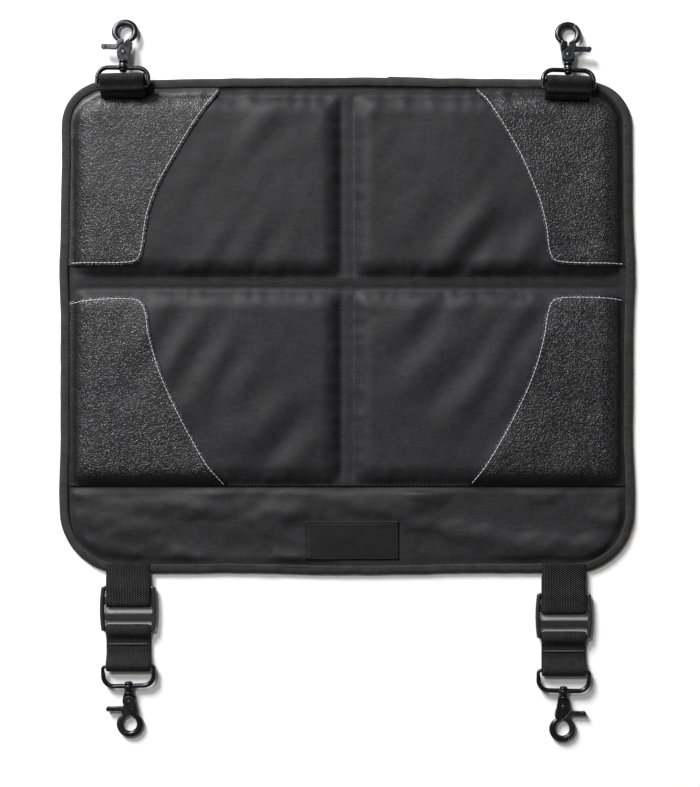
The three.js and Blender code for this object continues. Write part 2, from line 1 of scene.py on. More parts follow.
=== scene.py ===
# Looks of the car seat protector: cloth, vinyl, tape, webbing, thread, plastic and black metal.
# Lengths are millimetres; what is handed to Blender is in metres.

import json
import math

import bmesh
import bpy
import numpy as np
from mathutils import Matrix, Vector


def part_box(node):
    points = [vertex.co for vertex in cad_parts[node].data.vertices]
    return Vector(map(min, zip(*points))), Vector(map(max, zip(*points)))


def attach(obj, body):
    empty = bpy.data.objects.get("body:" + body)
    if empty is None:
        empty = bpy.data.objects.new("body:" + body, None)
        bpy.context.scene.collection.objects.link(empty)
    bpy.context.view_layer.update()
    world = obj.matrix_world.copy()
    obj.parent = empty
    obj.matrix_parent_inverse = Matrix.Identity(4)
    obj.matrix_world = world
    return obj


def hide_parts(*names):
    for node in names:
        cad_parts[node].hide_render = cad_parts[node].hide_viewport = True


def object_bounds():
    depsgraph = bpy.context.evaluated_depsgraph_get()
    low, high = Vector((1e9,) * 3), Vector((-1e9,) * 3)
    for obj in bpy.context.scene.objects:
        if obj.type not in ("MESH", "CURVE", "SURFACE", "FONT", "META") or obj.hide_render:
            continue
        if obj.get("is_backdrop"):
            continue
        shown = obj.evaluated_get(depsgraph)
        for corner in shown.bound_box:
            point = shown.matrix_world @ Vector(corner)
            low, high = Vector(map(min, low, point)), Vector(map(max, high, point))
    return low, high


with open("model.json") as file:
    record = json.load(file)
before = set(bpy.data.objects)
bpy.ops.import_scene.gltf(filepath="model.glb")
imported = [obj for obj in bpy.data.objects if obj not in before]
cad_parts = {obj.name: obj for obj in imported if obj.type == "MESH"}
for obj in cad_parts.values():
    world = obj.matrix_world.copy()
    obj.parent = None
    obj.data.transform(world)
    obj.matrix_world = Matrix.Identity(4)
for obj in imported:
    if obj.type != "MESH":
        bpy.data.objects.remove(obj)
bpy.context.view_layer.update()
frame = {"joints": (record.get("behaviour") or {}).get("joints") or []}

MM = 0.001
MAT_BODY = "mat"
GAP_MM = 0.3


def node_box(name):
    """A node's lowest and highest corner, in millimetres."""
    low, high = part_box(name)
    return np.array(low) / MM, np.array(high) / MM


mat_low, mat_high = node_box("edge_binding")
cover_low, cover_high = node_box("front_cover")
label_low, label_high = node_box("label")
HALF_WIDTH = mat_high[0]
HALF_HEIGHT = mat_high[1]
BINDING_TOP = mat_high[2]
SEAM_Y = cover_low[1]
TOP_RADIUS = 37.0
BOTTOM_RADIUS = 50.0
BINDING_WIDTH = 7.6
CLOTH = 0.6
COVER_REST = cover_low[2] + CLOTH
SHEET_THICK = 0.55
SHEET_INSET = 1.6
SEAM_LAP = 3.0
PAD_EDGE = 4.0
PAD_RAMP = 16.0
PAD_HEIGHT = 7.2
PAD_DOME = 1.0
CHANNEL_Y = 35.5
OVAL_Y = 33.0
OVAL_X_REACH = 165
OVAL_Y_REACH = 203

CORNERS = ["top_left", "top_right", "bottom_left", "bottom_right"]
TOPS = CORNERS[:2]
BOTTOMS = CORNERS[2:]
SIDES = ["left", "right"]

# The pads' outlines on the mat, each from its foam and the width of its rolled edge
PADS = []
for side in SIDES:
    for row in ["lower", "upper"]:
        low, high = node_box(f"pad_{row}_{side}")
        PADS.append((low[0] - PAD_EDGE, high[0] + PAD_EDGE, low[1] - PAD_EDGE, high[1] + PAD_EDGE))
CHANNEL_LEFT = PADS[0][1]
CHANNEL_RIGHT = PADS[2][0]
CHANNEL_LOW = PADS[0][3]
CHANNEL_HIGH = PADS[1][2]


# Noise made of sine waves, the same on every run

def waves(seed, shortest, longest, count=36, stretch=(1.0, 1.0), heading=None, spread=20):
    """A smooth random function of x and y in millimetres, roughly within -1 and 1.

    heading and spread, in degrees, give the direction across the folds, if they have one.
    """
    rng = np.random.default_rng(seed)
    angle = rng.uniform(0, math.tau, count)
    if heading is not None:
        angle = np.radians(rng.normal(heading, spread, count))
    length = np.exp(rng.uniform(math.log(shortest), math.log(longest), count))
    phase = rng.uniform(0, math.tau, count)
    size = np.sqrt(length)
    size /= np.sqrt((size ** 2).sum() / 2) * 2
    kx = math.tau * np.cos(angle) / length / stretch[0]
    ky = math.tau * np.sin(angle) / length / stretch[1]

    def value(x, y):
        x, y = np.asarray(x, float), np.asarray(y, float)
        total = np.zeros(np.broadcast(x, y).shape)
        for a, b, c, s in zip(kx, ky, phase, size):
            total = total + s * np.sin(a * x + b * y + c)
        return total

    return value


def smooth(value, low, high):
    t = np.clip((np.asarray(value, float) - low) / (high - low), 0, 1)
    return t * t * (3 - 2 * t)


# The mat's outline

edge_wander = waves(3, 60, 160, 12)
edge_ripple = waves(5, 14, 40, 20)
TOP_BOW = 2.6
BOW_SPAN = 190
CORNER_DIP = 1.5
SIDE_BULGE = 1.6
TAPE_END_X = 35.0
TAPE_END_RUN = 45
TAPE_END_STEP = 0.9


def outline_shift(x, y):
    """How far the edge strays outwards from its drawn line."""
    bow = TOP_BOW * np.clip(1 - (x / BOW_SPAN) ** 2, 0, 1) * smooth(y, HALF_HEIGHT - 30, HALF_HEIGHT)
    dip = -CORNER_DIP * np.clip(1 - (x / BOW_SPAN) ** 2, -1, 0) * smooth(y, 0, HALF_HEIGHT)
    bulge = SIDE_BULGE * np.exp(-((y - 41) / 28) ** 2) * smooth(abs(x), HALF_WIDTH - 30, HALF_WIDTH)
    low_bulge = 1.2 * np.exp(-((y + 137) / 32) ** 2) * smooth(abs(x), HALF_WIDTH - 30, HALF_WIDTH)
    sag = 1.4 * np.exp(-(x / 60) ** 2) * smooth(-y, HALF_HEIGHT - 30, HALF_HEIGHT)
    return bow - dip + bulge + low_bulge + sag + 0.35 * edge_wander(x, y) + 0.16 * edge_ripple(x, y)


def outline_points(inset, step=3.0):
    """Points round the mat, anticlockwise from the right side, with their outward directions."""
    points, normals = [], []
    corners = [
        (HALF_WIDTH, HALF_HEIGHT, TOP_RADIUS, 0),
        (-HALF_WIDTH, HALF_HEIGHT, TOP_RADIUS, 90),
        (-HALF_WIDTH, -HALF_HEIGHT, BOTTOM_RADIUS, 180),
        (HALF_WIDTH, -HALF_HEIGHT, BOTTOM_RADIUS, 270),
    ]
    last = None
    for corner_x, corner_y, radius, start in corners + corners[:1]:
        centre = np.array([corner_x - math.copysign(radius, corner_x),
                           corner_y - math.copysign(radius, corner_y)])
        first = math.radians(start)
        begin = centre + radius * np.array([math.cos(first), math.sin(first)])
        if last is not None:
            count = int(np.linalg.norm(begin - last) / step)
            for i in range(1, count):
                points.append(last + (begin - last) * i / count)
                normals.append((math.cos(first), math.sin(first)))
        if len(normals) and start == 0 and last is not None:
            break
        count = int(radius * math.pi / 2 / step)
        for i in range(count + 1):
            angle = first + math.pi / 2 * i / count
            points.append(centre + radius * np.array([math.cos(angle), math.sin(angle)]))
            normals.append((math.cos(angle), math.sin(angle)))
        last = points[-1]
    points, normals = np.array(points), np.array(normals)
    shift = outline_shift(points[:, 0], points[:, 1])
    return points + normals * (shift - inset)[:, None], normals


def inset_at(x, y):
    """How far points lie inside the mat's drawn outline."""
    radius = np.where(y > 0, TOP_RADIUS, BOTTOM_RADIUS)
    dx = np.abs(x) - (HALF_WIDTH - radius)
    dy = np.abs(y) - (HALF_HEIGHT - radius)
    outside = np.hypot(np.maximum(dx, 0), np.maximum(dy, 0)) + np.minimum(np.maximum(dx, dy), 0)
    inset = radius - outside
    return inset + outline_shift(x, y) * (1 - smooth(inset, 8, 30))


# Height of the quilted front

pad_folds = waves(11, 45, 130, 30)
pad_small = waves(12, 12, 34, 44)
pad_diagonal = waves(17, 24, 70, 24, heading=-35, spread=9)
fold_places = waves(18, 110, 260, 14)
seam_pucker_x = waves(21, 7, 17, 26, (1.0, 6.0))
seam_pucker_y = waves(22, 7, 17, 26, (6.0, 1.0))
edge_pucker = waves(23, 9, 26, 26, (1.0, 5.0))
band_folds = waves(31, 24, 90, 30, (2.2, 0.8))
band_small = waves(32, 9, 26, 34, (1.8, 0.9))


def pad_profile(distance):
    """The rolled edge of a pad: steepest at the stitching, then level."""
    t = np.clip(distance / PAD_RAMP, 0, 1)
    return 1 - (1 - t) ** 2.1


def crown(x, y):
    """Height of the padded front above its sewn channels, in millimetres."""
    x, y = np.asarray(x, float), np.asarray(y, float)
    inset = inset_at(x, y)
    height = np.zeros(np.broadcast(x, y).shape)
    for x0, x1, y0, y1 in PADS:
        outer_x = np.minimum(x - x0, x1 - x)
        outer_y = np.minimum(y - y0, y1 - y)
        inside = (outer_x > 0) & (outer_y > 0)
        ramps = np.minimum(pad_profile(outer_x), 1) * np.minimum(pad_profile(outer_y), 1)
        ramps = np.minimum(ramps, pad_profile(inset - 11.5))
        u = np.clip((x - x0) / (x1 - x0), 0, 1)
        v = np.clip((y - y0) / (y1 - y0), 0, 1)
        dome = PAD_DOME * np.sin(math.pi * u) * np.sin(math.pi * v)
        height = np.where(inside, np.maximum(height, (PAD_HEIGHT + dome) * ramps), height)
    return height


def cover_height(x, y):
    """Height of the front cloth, with its folds and puckers."""
    x, y = np.asarray(x, float), np.asarray(y, float)
    base = crown(x, y)
    on_pad = smooth(base, 1.5, 5.0)
    off_patch = 1 - 0.8 * smooth((x / OVAL_X_REACH) ** 2 + ((y - OVAL_Y) / OVAL_Y_REACH) ** 2, 0.8, 1.15)
    streaks = pad_diagonal(x, y) * smooth(fold_places(x, y), -0.7, 0.9) * off_patch
    folds = on_pad * (0.45 * pad_folds(x, y) + 1.4 * streaks + 0.12 * pad_small(x, y))
    from_upright = np.minimum(np.abs(x - CHANNEL_LEFT), np.abs(x - CHANNEL_RIGHT))
    from_level = np.minimum(np.abs(y - CHANNEL_LOW), np.abs(y - CHANNEL_HIGH))
    from_seam = np.abs(y - SEAM_Y)
    pucker = 0.5 * seam_pucker_y(x, y) * np.exp(-((from_upright - 4) / 5) ** 2)
    pucker = pucker + 0.5 * seam_pucker_x(x, y) * np.exp(-((from_level - 4) / 5) ** 2)
    pucker = pucker + 0.45 * seam_pucker_x(x + 400, y) * np.exp(-((from_seam - 6) / 7) ** 2)
    inset = inset_at(x, y)
    from_top = np.exp(-((inset - 13) / 10) ** 2) * smooth(y, 120, 180)
    pucker = pucker + 1.1 * edge_pucker(x, y) * from_top
    from_side = np.exp(-((inset - 13) / 7) ** 2) * smooth(np.abs(x), 190, 225)
    pucker = pucker + 0.4 * seam_pucker_y(x, y + 300) * from_side
    cross = np.hypot(x + 1.5, (y - 34) * 0.9)
    pinch = -0.9 * np.exp(-(cross / 5.5) ** 2) + 0.5 * np.exp(-((cross - 10) / 4) ** 2) * on_pad
    channel = 0.3 * np.exp(-((x / 3.6) ** 2)) + 0.3 * np.exp(-(((y - 35.4) / 3.6) ** 2))
    tilt = 0.14 * (y - CHANNEL_Y) * smooth(7 - np.abs(y - CHANNEL_Y), 0, 2)
    channel = (channel + tilt) * (1 - smooth(base, 0.2, 1.5)) * smooth(inset, 9, 16)
    keep = smooth(inset, 7.5, 10.5)
    return COVER_REST + base + (folds + pucker * smooth(base + 0.6, 0, 2.0) + pinch + channel) * keep


def band_height(x, y):
    """Height of the plain cloth below the seam."""
    x, y = np.asarray(x, float), np.asarray(y, float)
    inset = inset_at(x, y)
    calm = smooth(inset, 8, 15) * smooth(SEAM_Y - y, 0.5, 6)
    under_label = np.exp(-((x - 4) / 46) ** 6 - ((y + 176) / 20) ** 6)
    swell = 1.0 * np.sin(math.pi * np.clip((inset - 7) / 60, 0, 1)) * smooth(SEAM_Y - y, 0, 16)
    raw = 2.7 * band_folds(x, y) + 0.45 * band_small(x, y) + 0.4
    folds = np.where(raw > 0, raw, 0.25 * raw)
    return COVER_REST + 0.05 + calm * (1 - 0.85 * under_label) * (folds + 0.75) + 0.6 * swell


# Meshes

def new_object(name, verts, faces, material, body=MAT_BODY, smooth_faces=True, uvs=None):
    """A mesh object from millimetre coordinates; uvs holds one pair per vertex."""
    name = name.replace(" ", "-")
    mesh = bpy.data.meshes.new(name)
    mesh.from_pydata([tuple(float(c) * MM for c in v) for v in verts], [], [tuple(f) for f in faces])
    if uvs is not None:
        layer = mesh.uv_layers.new(name="UVMap")
        loop_verts = np.empty(len(mesh.loops), dtype=np.int32)
        mesh.loops.foreach_get("vertex_index", loop_verts)
        layer.data.foreach_set("uv", np.asarray(uvs, np.float32)[loop_verts].ravel())
    mesh.validate()
    mesh.update()
    if smooth_faces:
        mesh.shade_smooth()
    obj = bpy.data.objects.new(name, mesh)
    bpy.context.scene.collection.objects.link(obj)
    mesh.materials.append(material)
    if body:
        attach(obj, body)
    return obj


def apply_modifiers(obj):
    bpy.context.view_layer.objects.active = obj
    for other in bpy.context.selected_objects:
        other.select_set(False)
    obj.select_set(True)
    for modifier in list(obj.modifiers):
        bpy.ops.object.modifier_apply(modifier=modifier.name)


def cut_grid(x0, x1, y0, y1, step, keep):
    """A grid of quads over a rectangle, keeping the cells whose corners all satisfy keep."""
    nx = int(round((x1 - x0) / step)) + 1
    ny = int(round((y1 - y0) / step)) + 1
    xs, ys = np.meshgrid(np.linspace(x0, x1, nx), np.linspace(y0, y1, ny))
    inside = keep(xs, ys)
    cells = inside[:-1, :-1] & inside[1:, :-1] & inside[:-1, 1:] & inside[1:, 1:]
    index = np.full(xs.shape, -1)
    used = np.zeros(xs.shape, bool)
    for dy in (0, 1):
        for dx in (0, 1):
            used[dy:ny - 1 + dy, dx:nx - 1 + dx] |= cells
    index[used] = np.arange(used.sum())
    rows, cols = np.nonzero(cells)
    faces = np.stack([index[rows, cols], index[rows, cols + 1], index[rows + 1, cols + 1],
                      index[rows + 1, cols]], axis=1)
    return xs[used], ys[used], faces.tolist()


def thick_sheet(name, xs, ys, zs, faces, thickness, material, uvs=None):
    """A cloth sheet whose upper face follows the given heights."""
    obj = new_object(name, np.stack([xs, ys, zs], axis=1), faces, material, uvs=uvs)
    solid = obj.modifiers.new("thickness", "SOLIDIFY")
    solid.thickness = thickness * MM
    solid.offset = -1
    apply_modifiers(obj)
    return obj


def polygon_sheet(name, outline, height, thickness, material, step=2.2, edge_round=0.35):
    """A sheet cut to an outline, following a height function; its rim rolls down."""
    mesh = bmesh.new()
    ring = [mesh.verts.new((p[0], p[1], 0)) for p in outline]
    mesh.faces.new(ring)
    outline = np.asarray(outline)
    for axis, normal in ((0, (1, 0, 0)), (1, (0, 1, 0))):
        low, high = outline[:, axis].min(), outline[:, axis].max()
        at = low + step * 0.37
        while at < high:
            place = (at, 0, 0) if axis == 0 else (0, at, 0)
            geometry = mesh.verts[:] + mesh.edges[:] + mesh.faces[:]
            bmesh.ops.bisect_plane(mesh, geom=geometry, plane_co=place, plane_no=normal, dist=1e-5)
            at += step
    bmesh.ops.remove_doubles(mesh, verts=mesh.verts, dist=0.02)
    mesh.normal_update()
    if sum(face.normal.z for face in mesh.faces) < 0:
        bmesh.ops.reverse_faces(mesh, faces=mesh.faces)
    verts = np.array([v.co[:] for v in mesh.verts])
    mesh.verts.index_update()
    faces = [[v.index for v in face.verts] for face in mesh.faces]
    mesh.free()
    zs = height(verts[:, 0], verts[:, 1])
    obj = thick_sheet(name, verts[:, 0], verts[:, 1], zs, faces, thickness, material)
    if edge_round:
        bevel = obj.modifiers.new("rim", "BEVEL")
        bevel.width = edge_round * MM
        bevel.segments = 2
        bevel.angle_limit = math.radians(50)
        apply_modifiers(obj)
        obj.data.shade_smooth()
    return obj


def spline(points, step):
    """Points every step millimetres along a centripetal Catmull-Rom curve through the given ones."""
    points = [np.asarray(p, float) for p in points]
    first = points[0] * 2 - points[1]
    last = points[-1] * 2 - points[-2]
    knots = [first] + points + [last]
    result = []
    for i in range(1, len(knots) - 2):
        p = knots[i - 1:i + 3]
        t = [0.0]
        for a, b in zip(p[:-1], p[1:]):
            t.append(t[-1] + max(np.linalg.norm(b - a), 1e-6) ** 0.5)
        count = max(2, int(np.linalg.norm(p[2] - p[1]) / step))
        for k in range(count):
            at = t[1] + (t[2] - t[1]) * k / count
            a1 = p[0] + (p[1] - p[0]) * (at - t[0]) / (t[1] - t[0])
            a2 = p[1] + (p[2] - p[1]) * (at - t[1]) / (t[2] - t[1])
            a3 = p[2] + (p[3] - p[2]) * (at - t[2]) / (t[3] - t[2])
            b1 = a1 + (a2 - a1) * (at - t[0]) / (t[2] - t[0])
            b2 = a2 + (a3 - a2) * (at - t[1]) / (t[3] - t[1])
            result.append(b1 + (b2 - b1) * (at - t[1]) / (t[2] - t[1]))
    result.append(points[-1])
    return np.array(result)


def sweep(path, sides, sections, closed=False, cap=True):
    """Vertices, faces and uvs of a profile carried along a path.

    sides gives, per path point, the two axes of the profile's plane; sections gives its
    points (a, b) per path point.
    """
    verts, uvs = [], []
    count = len(path)
    size = len(sections[0])
    run = np.concatenate([[0], np.cumsum(np.linalg.norm(np.diff(path, axis=0), axis=1))])
    for i in range(count):
        right, up = sides[i]
        round_run = 0.0
        for j, (a, b) in enumerate(sections[i]):
            verts.append(path[i] + np.asarray(right) * a + np.asarray(up) * b)
            if j:
                round_run += math.dist(sections[i][j], sections[i][j - 1])
            uvs.append((round_run * 0.001, run[i] * 0.001))
    faces = []
    rows = count if closed else count - 1
    for i in range(rows):
        a, b = i * size, ((i + 1) % count) * size
        for j in range(size):
            k = (j + 1) % size
            faces.append((a + j, a + k, b + k, b + j))
    if cap and not closed:
        faces.append(tuple(range(size - 1, -1, -1)))
        faces.append(tuple((count - 1) * size + j for j in range(size)))
    return verts, faces, uvs


def fix_normals(obj):
    mesh = bmesh.new()
    mesh.from_mesh(obj.data)
    bmesh.ops.recalc_face_normals(mesh, faces=mesh.faces)
    mesh.to_mesh(obj.data)
    mesh.free()


def capsule_run(points, radius, stitch, space, material, name, lift, width=6, rings=4, dive=0.9):
    """A row of stitches: short rounded threads lying along a path of (x, y) points."""
    points = np.asarray(points, float)
    run = np.concatenate([[0], np.cumsum(np.linalg.norm(np.diff(points, axis=0), axis=1))])
    total = run[-1]
    count = max(1, int(total / (stitch + space)))
    pitch = total / count
    length = pitch - space
    verts, faces = [], []

    def at(distance):
        return np.array([np.interp(distance, run, points[:, k]) for k in range(points.shape[1])])

    for i in range(count):
        begin = i * pitch + space / 2
        base = len(verts)
        steps = rings + 3
        for s in range(steps):
            t = s / (steps - 1)
            place = at(begin + length * t)
            ahead = at(min(begin + length * t + 0.2, total)) - at(max(begin + length * t - 0.2, 0))
            ahead = ahead[:2] / max(np.linalg.norm(ahead[:2]), 1e-9)
            side = np.array([-ahead[1], ahead[0]])
            thick = radius * (1 - abs(2 * t - 1) ** 4) ** 0.5 if 0 < t < 1 else radius * 0.15
            height = lift(place[0], place[1]) if callable(lift) else lift
            sink = -dive * radius * abs(2 * t - 1) ** 3
            for w in range(width):
                turn = math.tau * w / width
                spot = place[:2] + side * thick * math.cos(turn)
                verts.append((spot[0], spot[1], float(height) + sink + thick * (0.3 + math.sin(turn))))
        for s in range(steps - 1):
            for w in range(width):
                a = base + s * width + w
                b = base + s * width + (w + 1) % width
                faces.append((a, b, b + width, a + width))
        faces.append(tuple(base + w for w in range(width - 1, -1, -1)))
        faces.append(tuple(base + (steps - 1) * width + w for w in range(width)))
    obj = new_object(name, verts, faces, material)
    fix_normals(obj)
    return obj


# Materials

def material(name, color, roughness, **inputs):
    """A new principled material; returns it with its node tree, principled node and output."""
    made = bpy.data.materials.new(name)
    made.use_nodes = True
    tree = made.node_tree
    shader = tree.nodes["Principled BSDF"]
    shader.inputs["Base Color"].default_value = (*color, 1)
    shader.inputs["Roughness"].default_value = roughness
    for key, value in inputs.items():
        shader.inputs[key.replace("_", " ")].default_value = value
    return made, tree, shader


def dimmed(color, factor):
    return tuple(c * factor for c in color)


def math_node(tree, operation, first, second=None, clamp=False):
    node = tree.nodes.new("ShaderNodeMath")
    node.operation = operation
    node.use_clamp = clamp
    for socket, value in zip(node.inputs, (first, second)):
        if value is None:
            continue
        if isinstance(value, (int, float)):
            socket.default_value = value
        else:
            tree.links.new(value, socket)
    return node.outputs[0]


def coordinates(tree, kind="Object", scale=(1, 1, 1), turn=0.0):
    source = tree.nodes.new("ShaderNodeTexCoord")
    mapping = tree.nodes.new("ShaderNodeMapping")
    mapping.inputs["Scale"].default_value = scale
    mapping.inputs["Rotation"].default_value = (0, 0, turn)
    tree.links.new(source.outputs[kind], mapping.inputs["Vector"])
    return mapping.outputs["Vector"]


def noise(tree, vector, scale, detail=2.0, roughness=0.5):
    node = tree.nodes.new("ShaderNodeTexNoise")
    node.inputs["Scale"].default_value = scale
    node.inputs["Detail"].default_value = detail
    node.inputs["Roughness"].default_value = roughness
    tree.links.new(vector, node.inputs["Vector"])
    return node.outputs["Fac"]


def colour_ramp(tree, value, stops):
    node = tree.nodes.new("ShaderNodeValToRGB")
    ramp = node.color_ramp
    while len(ramp.elements) < len(stops):
        ramp.elements.new(0.5)
    for element, (place, color) in zip(ramp.elements, stops):
        element.position = place
        element.color = (*color, 1)
    tree.links.new(value, node.inputs["Fac"])
    return node.outputs["Color"]


def bump(tree, shader, heights):
    """Chain bump nodes; heights holds (socket, strength, distance in millimetres)."""
    last = None
    for height, strength, distance in heights:
        node = tree.nodes.new("ShaderNodeBump")
        node.inputs["Strength"].default_value = strength
        node.inputs["Distance"].default_value = distance * MM
        tree.links.new(height, node.inputs["Height"])
        if last is not None:
            tree.links.new(last, node.inputs["Normal"])
        last = node.outputs["Normal"]
    tree.links.new(last, shader.inputs["Normal"])


def split(tree, vector):
    node = tree.nodes.new("ShaderNodeSeparateXYZ")
    tree.links.new(vector, node.inputs[0])
    return node.outputs


def wave01(tree, coordinate, pitch, shift=0.0):
    phase = math_node(tree, "MULTIPLY", coordinate, math.tau / (pitch * MM))
    if shift:
        phase = math_node(tree, "ADD", phase, shift)
    wave = math_node(tree, "SINE", phase)
    half = math_node(tree, "MULTIPLY", wave, 0.5)
    return math_node(tree, "ADD", half, 0.5)


def cloth_material(name, color, weave=0.62):
    """Tightly woven polyester: fine crossed threads, soft sheen, faint mottling."""
    made, tree, shader = material(name, color, 0.55, Specular_IOR_Level=0.22)
    shader.inputs["Sheen Weight"].default_value = 0.03
    shader.inputs["Sheen Roughness"].default_value = 0.45
    shader.inputs["Sheen Tint"].default_value = (0.8, 0.85, 0.95, 1)
    place = coordinates(tree)
    x, y, _ = split(tree, place)
    threads = math_node(tree, "MULTIPLY", wave01(tree, x, weave), wave01(tree, y, weave))
    specks = noise(tree, place, 1500, 2, 0.6)
    mottle = noise(tree, place, 95, 5, 0.62)
    wide = noise(tree, place, 22, 3, 0.5)
    weft = noise(tree, coordinates(tree, scale=(0.12, 1, 1)), 1150, 2, 0.7)
    warp = noise(tree, coordinates(tree, scale=(1, 0.12, 1)), 1150, 2, 0.7)
    slubs = math_node(tree, "ADD", math_node(tree, "MULTIPLY", weft, 0.65),
                      math_node(tree, "MULTIPLY", warp, 0.35))
    mixed = math_node(tree, "ADD", math_node(tree, "MULTIPLY", mottle, 0.6),
                      math_node(tree, "MULTIPLY", wide, 0.4))
    shade = colour_ramp(tree, mixed, [(0.3, dimmed(color, 0.72)), (0.7, dimmed(color, 1.35))])
    fleck = colour_ramp(tree, slubs, [(0.36, (0.65, 0.65, 0.65)), (0.64, (1.35, 1.35, 1.37))])
    mix = tree.nodes.new("ShaderNodeMix")
    mix.data_type = "RGBA"
    mix.blend_type = "MULTIPLY"
    mix.inputs["Factor"].default_value = 1.0
    tree.links.new(shade, mix.inputs["A"])
    tree.links.new(fleck, mix.inputs["B"])
    tree.links.new(mix.outputs["Result"], shader.inputs["Base Color"])
    bump(tree, shader, [(threads, 0.5, 0.12), (specks, 0.35, 0.12), (slubs, 0.5, 0.12), (mottle, 0.5, 0.5)])
    return made


def vinyl_material(name):
    """Embossed vinyl: short worm-like ridges, painted lighter and smoother than the grooves between:
    painted highlight on the ridges, painted shade in the grooves.
    """
    made, tree, shader = material(name, (0.006, 0.006, 0.0066), 0.35, Specular_IOR_Level=0.42)
    place = coordinates(tree)
    swirl = noise(tree, place, 460, 1.0, 0.5)
    off_line = math_node(tree, "ABSOLUTE", math_node(tree, "SUBTRACT", swirl, 0.5))
    ridge = math_node(tree, "SUBTRACT", 1.0, math_node(tree, "MULTIPLY", off_line, 7.0), clamp=True)
    breaks = noise(tree, place, 700, 1, 0.5)
    broken = math_node(tree, "MULTIPLY", math_node(tree, "SUBTRACT", breaks, 0.36), 6.0, clamp=True)
    grain = tree.nodes.new("ShaderNodeAttribute")
    grain.attribute_name = "grain"
    ridge = math_node(tree, "MULTIPLY", math_node(tree, "MULTIPLY", ridge, broken), grain.outputs["Fac"])
    fine = noise(tree, place, 2600, 2, 0.6)
    broad = noise(tree, place, 90, 3, 0.55)
    # Base colour: painted shade in the grooves and painted highlight on the ridges, faded with the emboss
    shade = colour_ramp(tree, ridge, [(0.05, (0.0012, 0.0012, 0.0015)), (0.8, (0.027, 0.027, 0.0305))])
    tree.links.new(shade, shader.inputs["Base Color"])
    matt = math_node(tree, "MULTIPLY", math_node(tree, "SUBTRACT", 1.0, ridge), 0.22)
    uneven = math_node(tree, "ADD", math_node(tree, "MULTIPLY", broad, 0.1), 0.19)
    rough = math_node(tree, "ADD", uneven, matt)
    tree.links.new(rough, shader.inputs["Roughness"])
    bump(tree, shader, [(ridge, 1.0, 0.27), (fine, 0.3, 0.04), (broad, 0.4, 0.5)])
    return made


def tape_material(name, color=(0.019, 0.019, 0.0187)):
    """Grosgrain tape, its ribs running across the width."""
    made, tree, shader = material(name, color, 0.7, Specular_IOR_Level=0.25)
    shader.inputs["Sheen Weight"].default_value = 0.04
    shader.inputs["Sheen Roughness"].default_value = 0.4
    place = coordinates(tree, "UV")
    across, along, _ = split(tree, place)
    rib = wave01(tree, along, 0.95)
    thread = wave01(tree, across, 0.5)
    body = coordinates(tree)
    mottle = noise(tree, body, 130, 4, 0.6)
    shade = colour_ramp(tree, mottle, [(0.3, dimmed(color, 0.75)),
                                       (0.72, dimmed(color, 1.6))])
    tree.links.new(shade, shader.inputs["Base Color"])
    fine = noise(tree, body, 1800, 2, 0.6)
    bump(tree, shader, [(rib, 0.8, 0.28), (thread, 0.35, 0.08), (fine, 0.4, 0.12), (mottle, 0.35, 0.5)])
    return made


def webbing_material(name, color=(0.007, 0.007, 0.0074)):
    """Heavy webbing: rows of plump threads, painted lighter on top: a painted highlight on the thread tops
    and painted shade between them.
    """
    made, tree, shader = material(name, color, 0.5, Specular_IOR_Level=0.12)
    place = coordinates(tree, "UV")
    across, along, _ = split(tree, place)
    row = math_node(tree, "MULTIPLY", across, 1 / (1.3 * MM))
    parity = math_node(tree, "MULTIPLY", math_node(tree, "FLOOR", row), math.pi)
    phase = math_node(tree, "ADD", math_node(tree, "MULTIPLY", along, math.tau / (1.65 * MM)), parity)
    dots = math_node(tree, "ADD", math_node(tree, "MULTIPLY", math_node(tree, "SINE", phase), 0.5), 0.5)
    half_turns = math_node(tree, "MULTIPLY", row, math.pi)
    columns = math_node(tree, "ABSOLUTE", math_node(tree, "SINE", half_turns))
    plump = math_node(tree, "MULTIPLY", math_node(tree, "POWER", dots, 0.8), columns)
    body = coordinates(tree)
    mottle = noise(tree, body, 240, 3, 0.6)
    painted_highlight_and_mottle = math_node(tree, "ADD", math_node(tree, "MULTIPLY", plump, 0.75),
                       math_node(tree, "MULTIPLY", mottle, 0.4))
    # Base colour: painted highlight on the thread tops and painted shade between the threads, plus random
    # mottle
    shade = colour_ramp(tree, painted_highlight_and_mottle, [(0.1, dimmed(color, 0.25)),
                                       (0.55, dimmed(color, 0.45)), (0.9, dimmed(color, 9))])
    tree.links.new(shade, shader.inputs["Base Color"])
    fine = noise(tree, body, 2600, 2, 0.7)
    bump(tree, shader, [(plump, 0.9, 0.5), (fine, 0.5, 0.1)])
    return made


def metal_material(name, color, roughness, metallic=0.85, grain=0.3):
    """Black-plated die casting: slightly uneven, faintly worn."""
    made, tree, shader = material(name, color, roughness, Metallic=metallic)
    place = coordinates(tree)
    cloud = noise(tree, place, 260, 4, 0.6)
    fine = noise(tree, place, 2400, 3, 0.6)
    rough = colour_ramp(tree, cloud, [(0.25, (roughness * 0.75,) * 3), (0.75, (roughness * 1.35,) * 3)])
    shade = colour_ramp(tree, cloud, [(0.3, dimmed(color, 0.8)),
                                      (0.75, dimmed(color, 1.25))])
    tree.links.new(rough, shader.inputs["Roughness"])
    tree.links.new(shade, shader.inputs["Base Color"])
    bump(tree, shader, [(cloud, grain, 0.25), (fine, grain, 0.05)])
    return made


def plastic_material(name, color, roughness):
    """Moulded plastic with a fine spark-eroded skin."""
    made, tree, shader = material(name, color, roughness, Specular_IOR_Level=0.5)
    place = coordinates(tree)
    fine = noise(tree, place, 3200, 2, 0.6)
    cloud = noise(tree, place, 180, 3, 0.6)
    rough = colour_ramp(tree, cloud, [(0.3, (roughness * 0.85,) * 3), (0.7, (roughness * 1.2,) * 3)])
    tree.links.new(rough, shader.inputs["Roughness"])
    bump(tree, shader, [(fine, 0.5, 0.08), (cloud, 0.25, 0.3)])
    return made


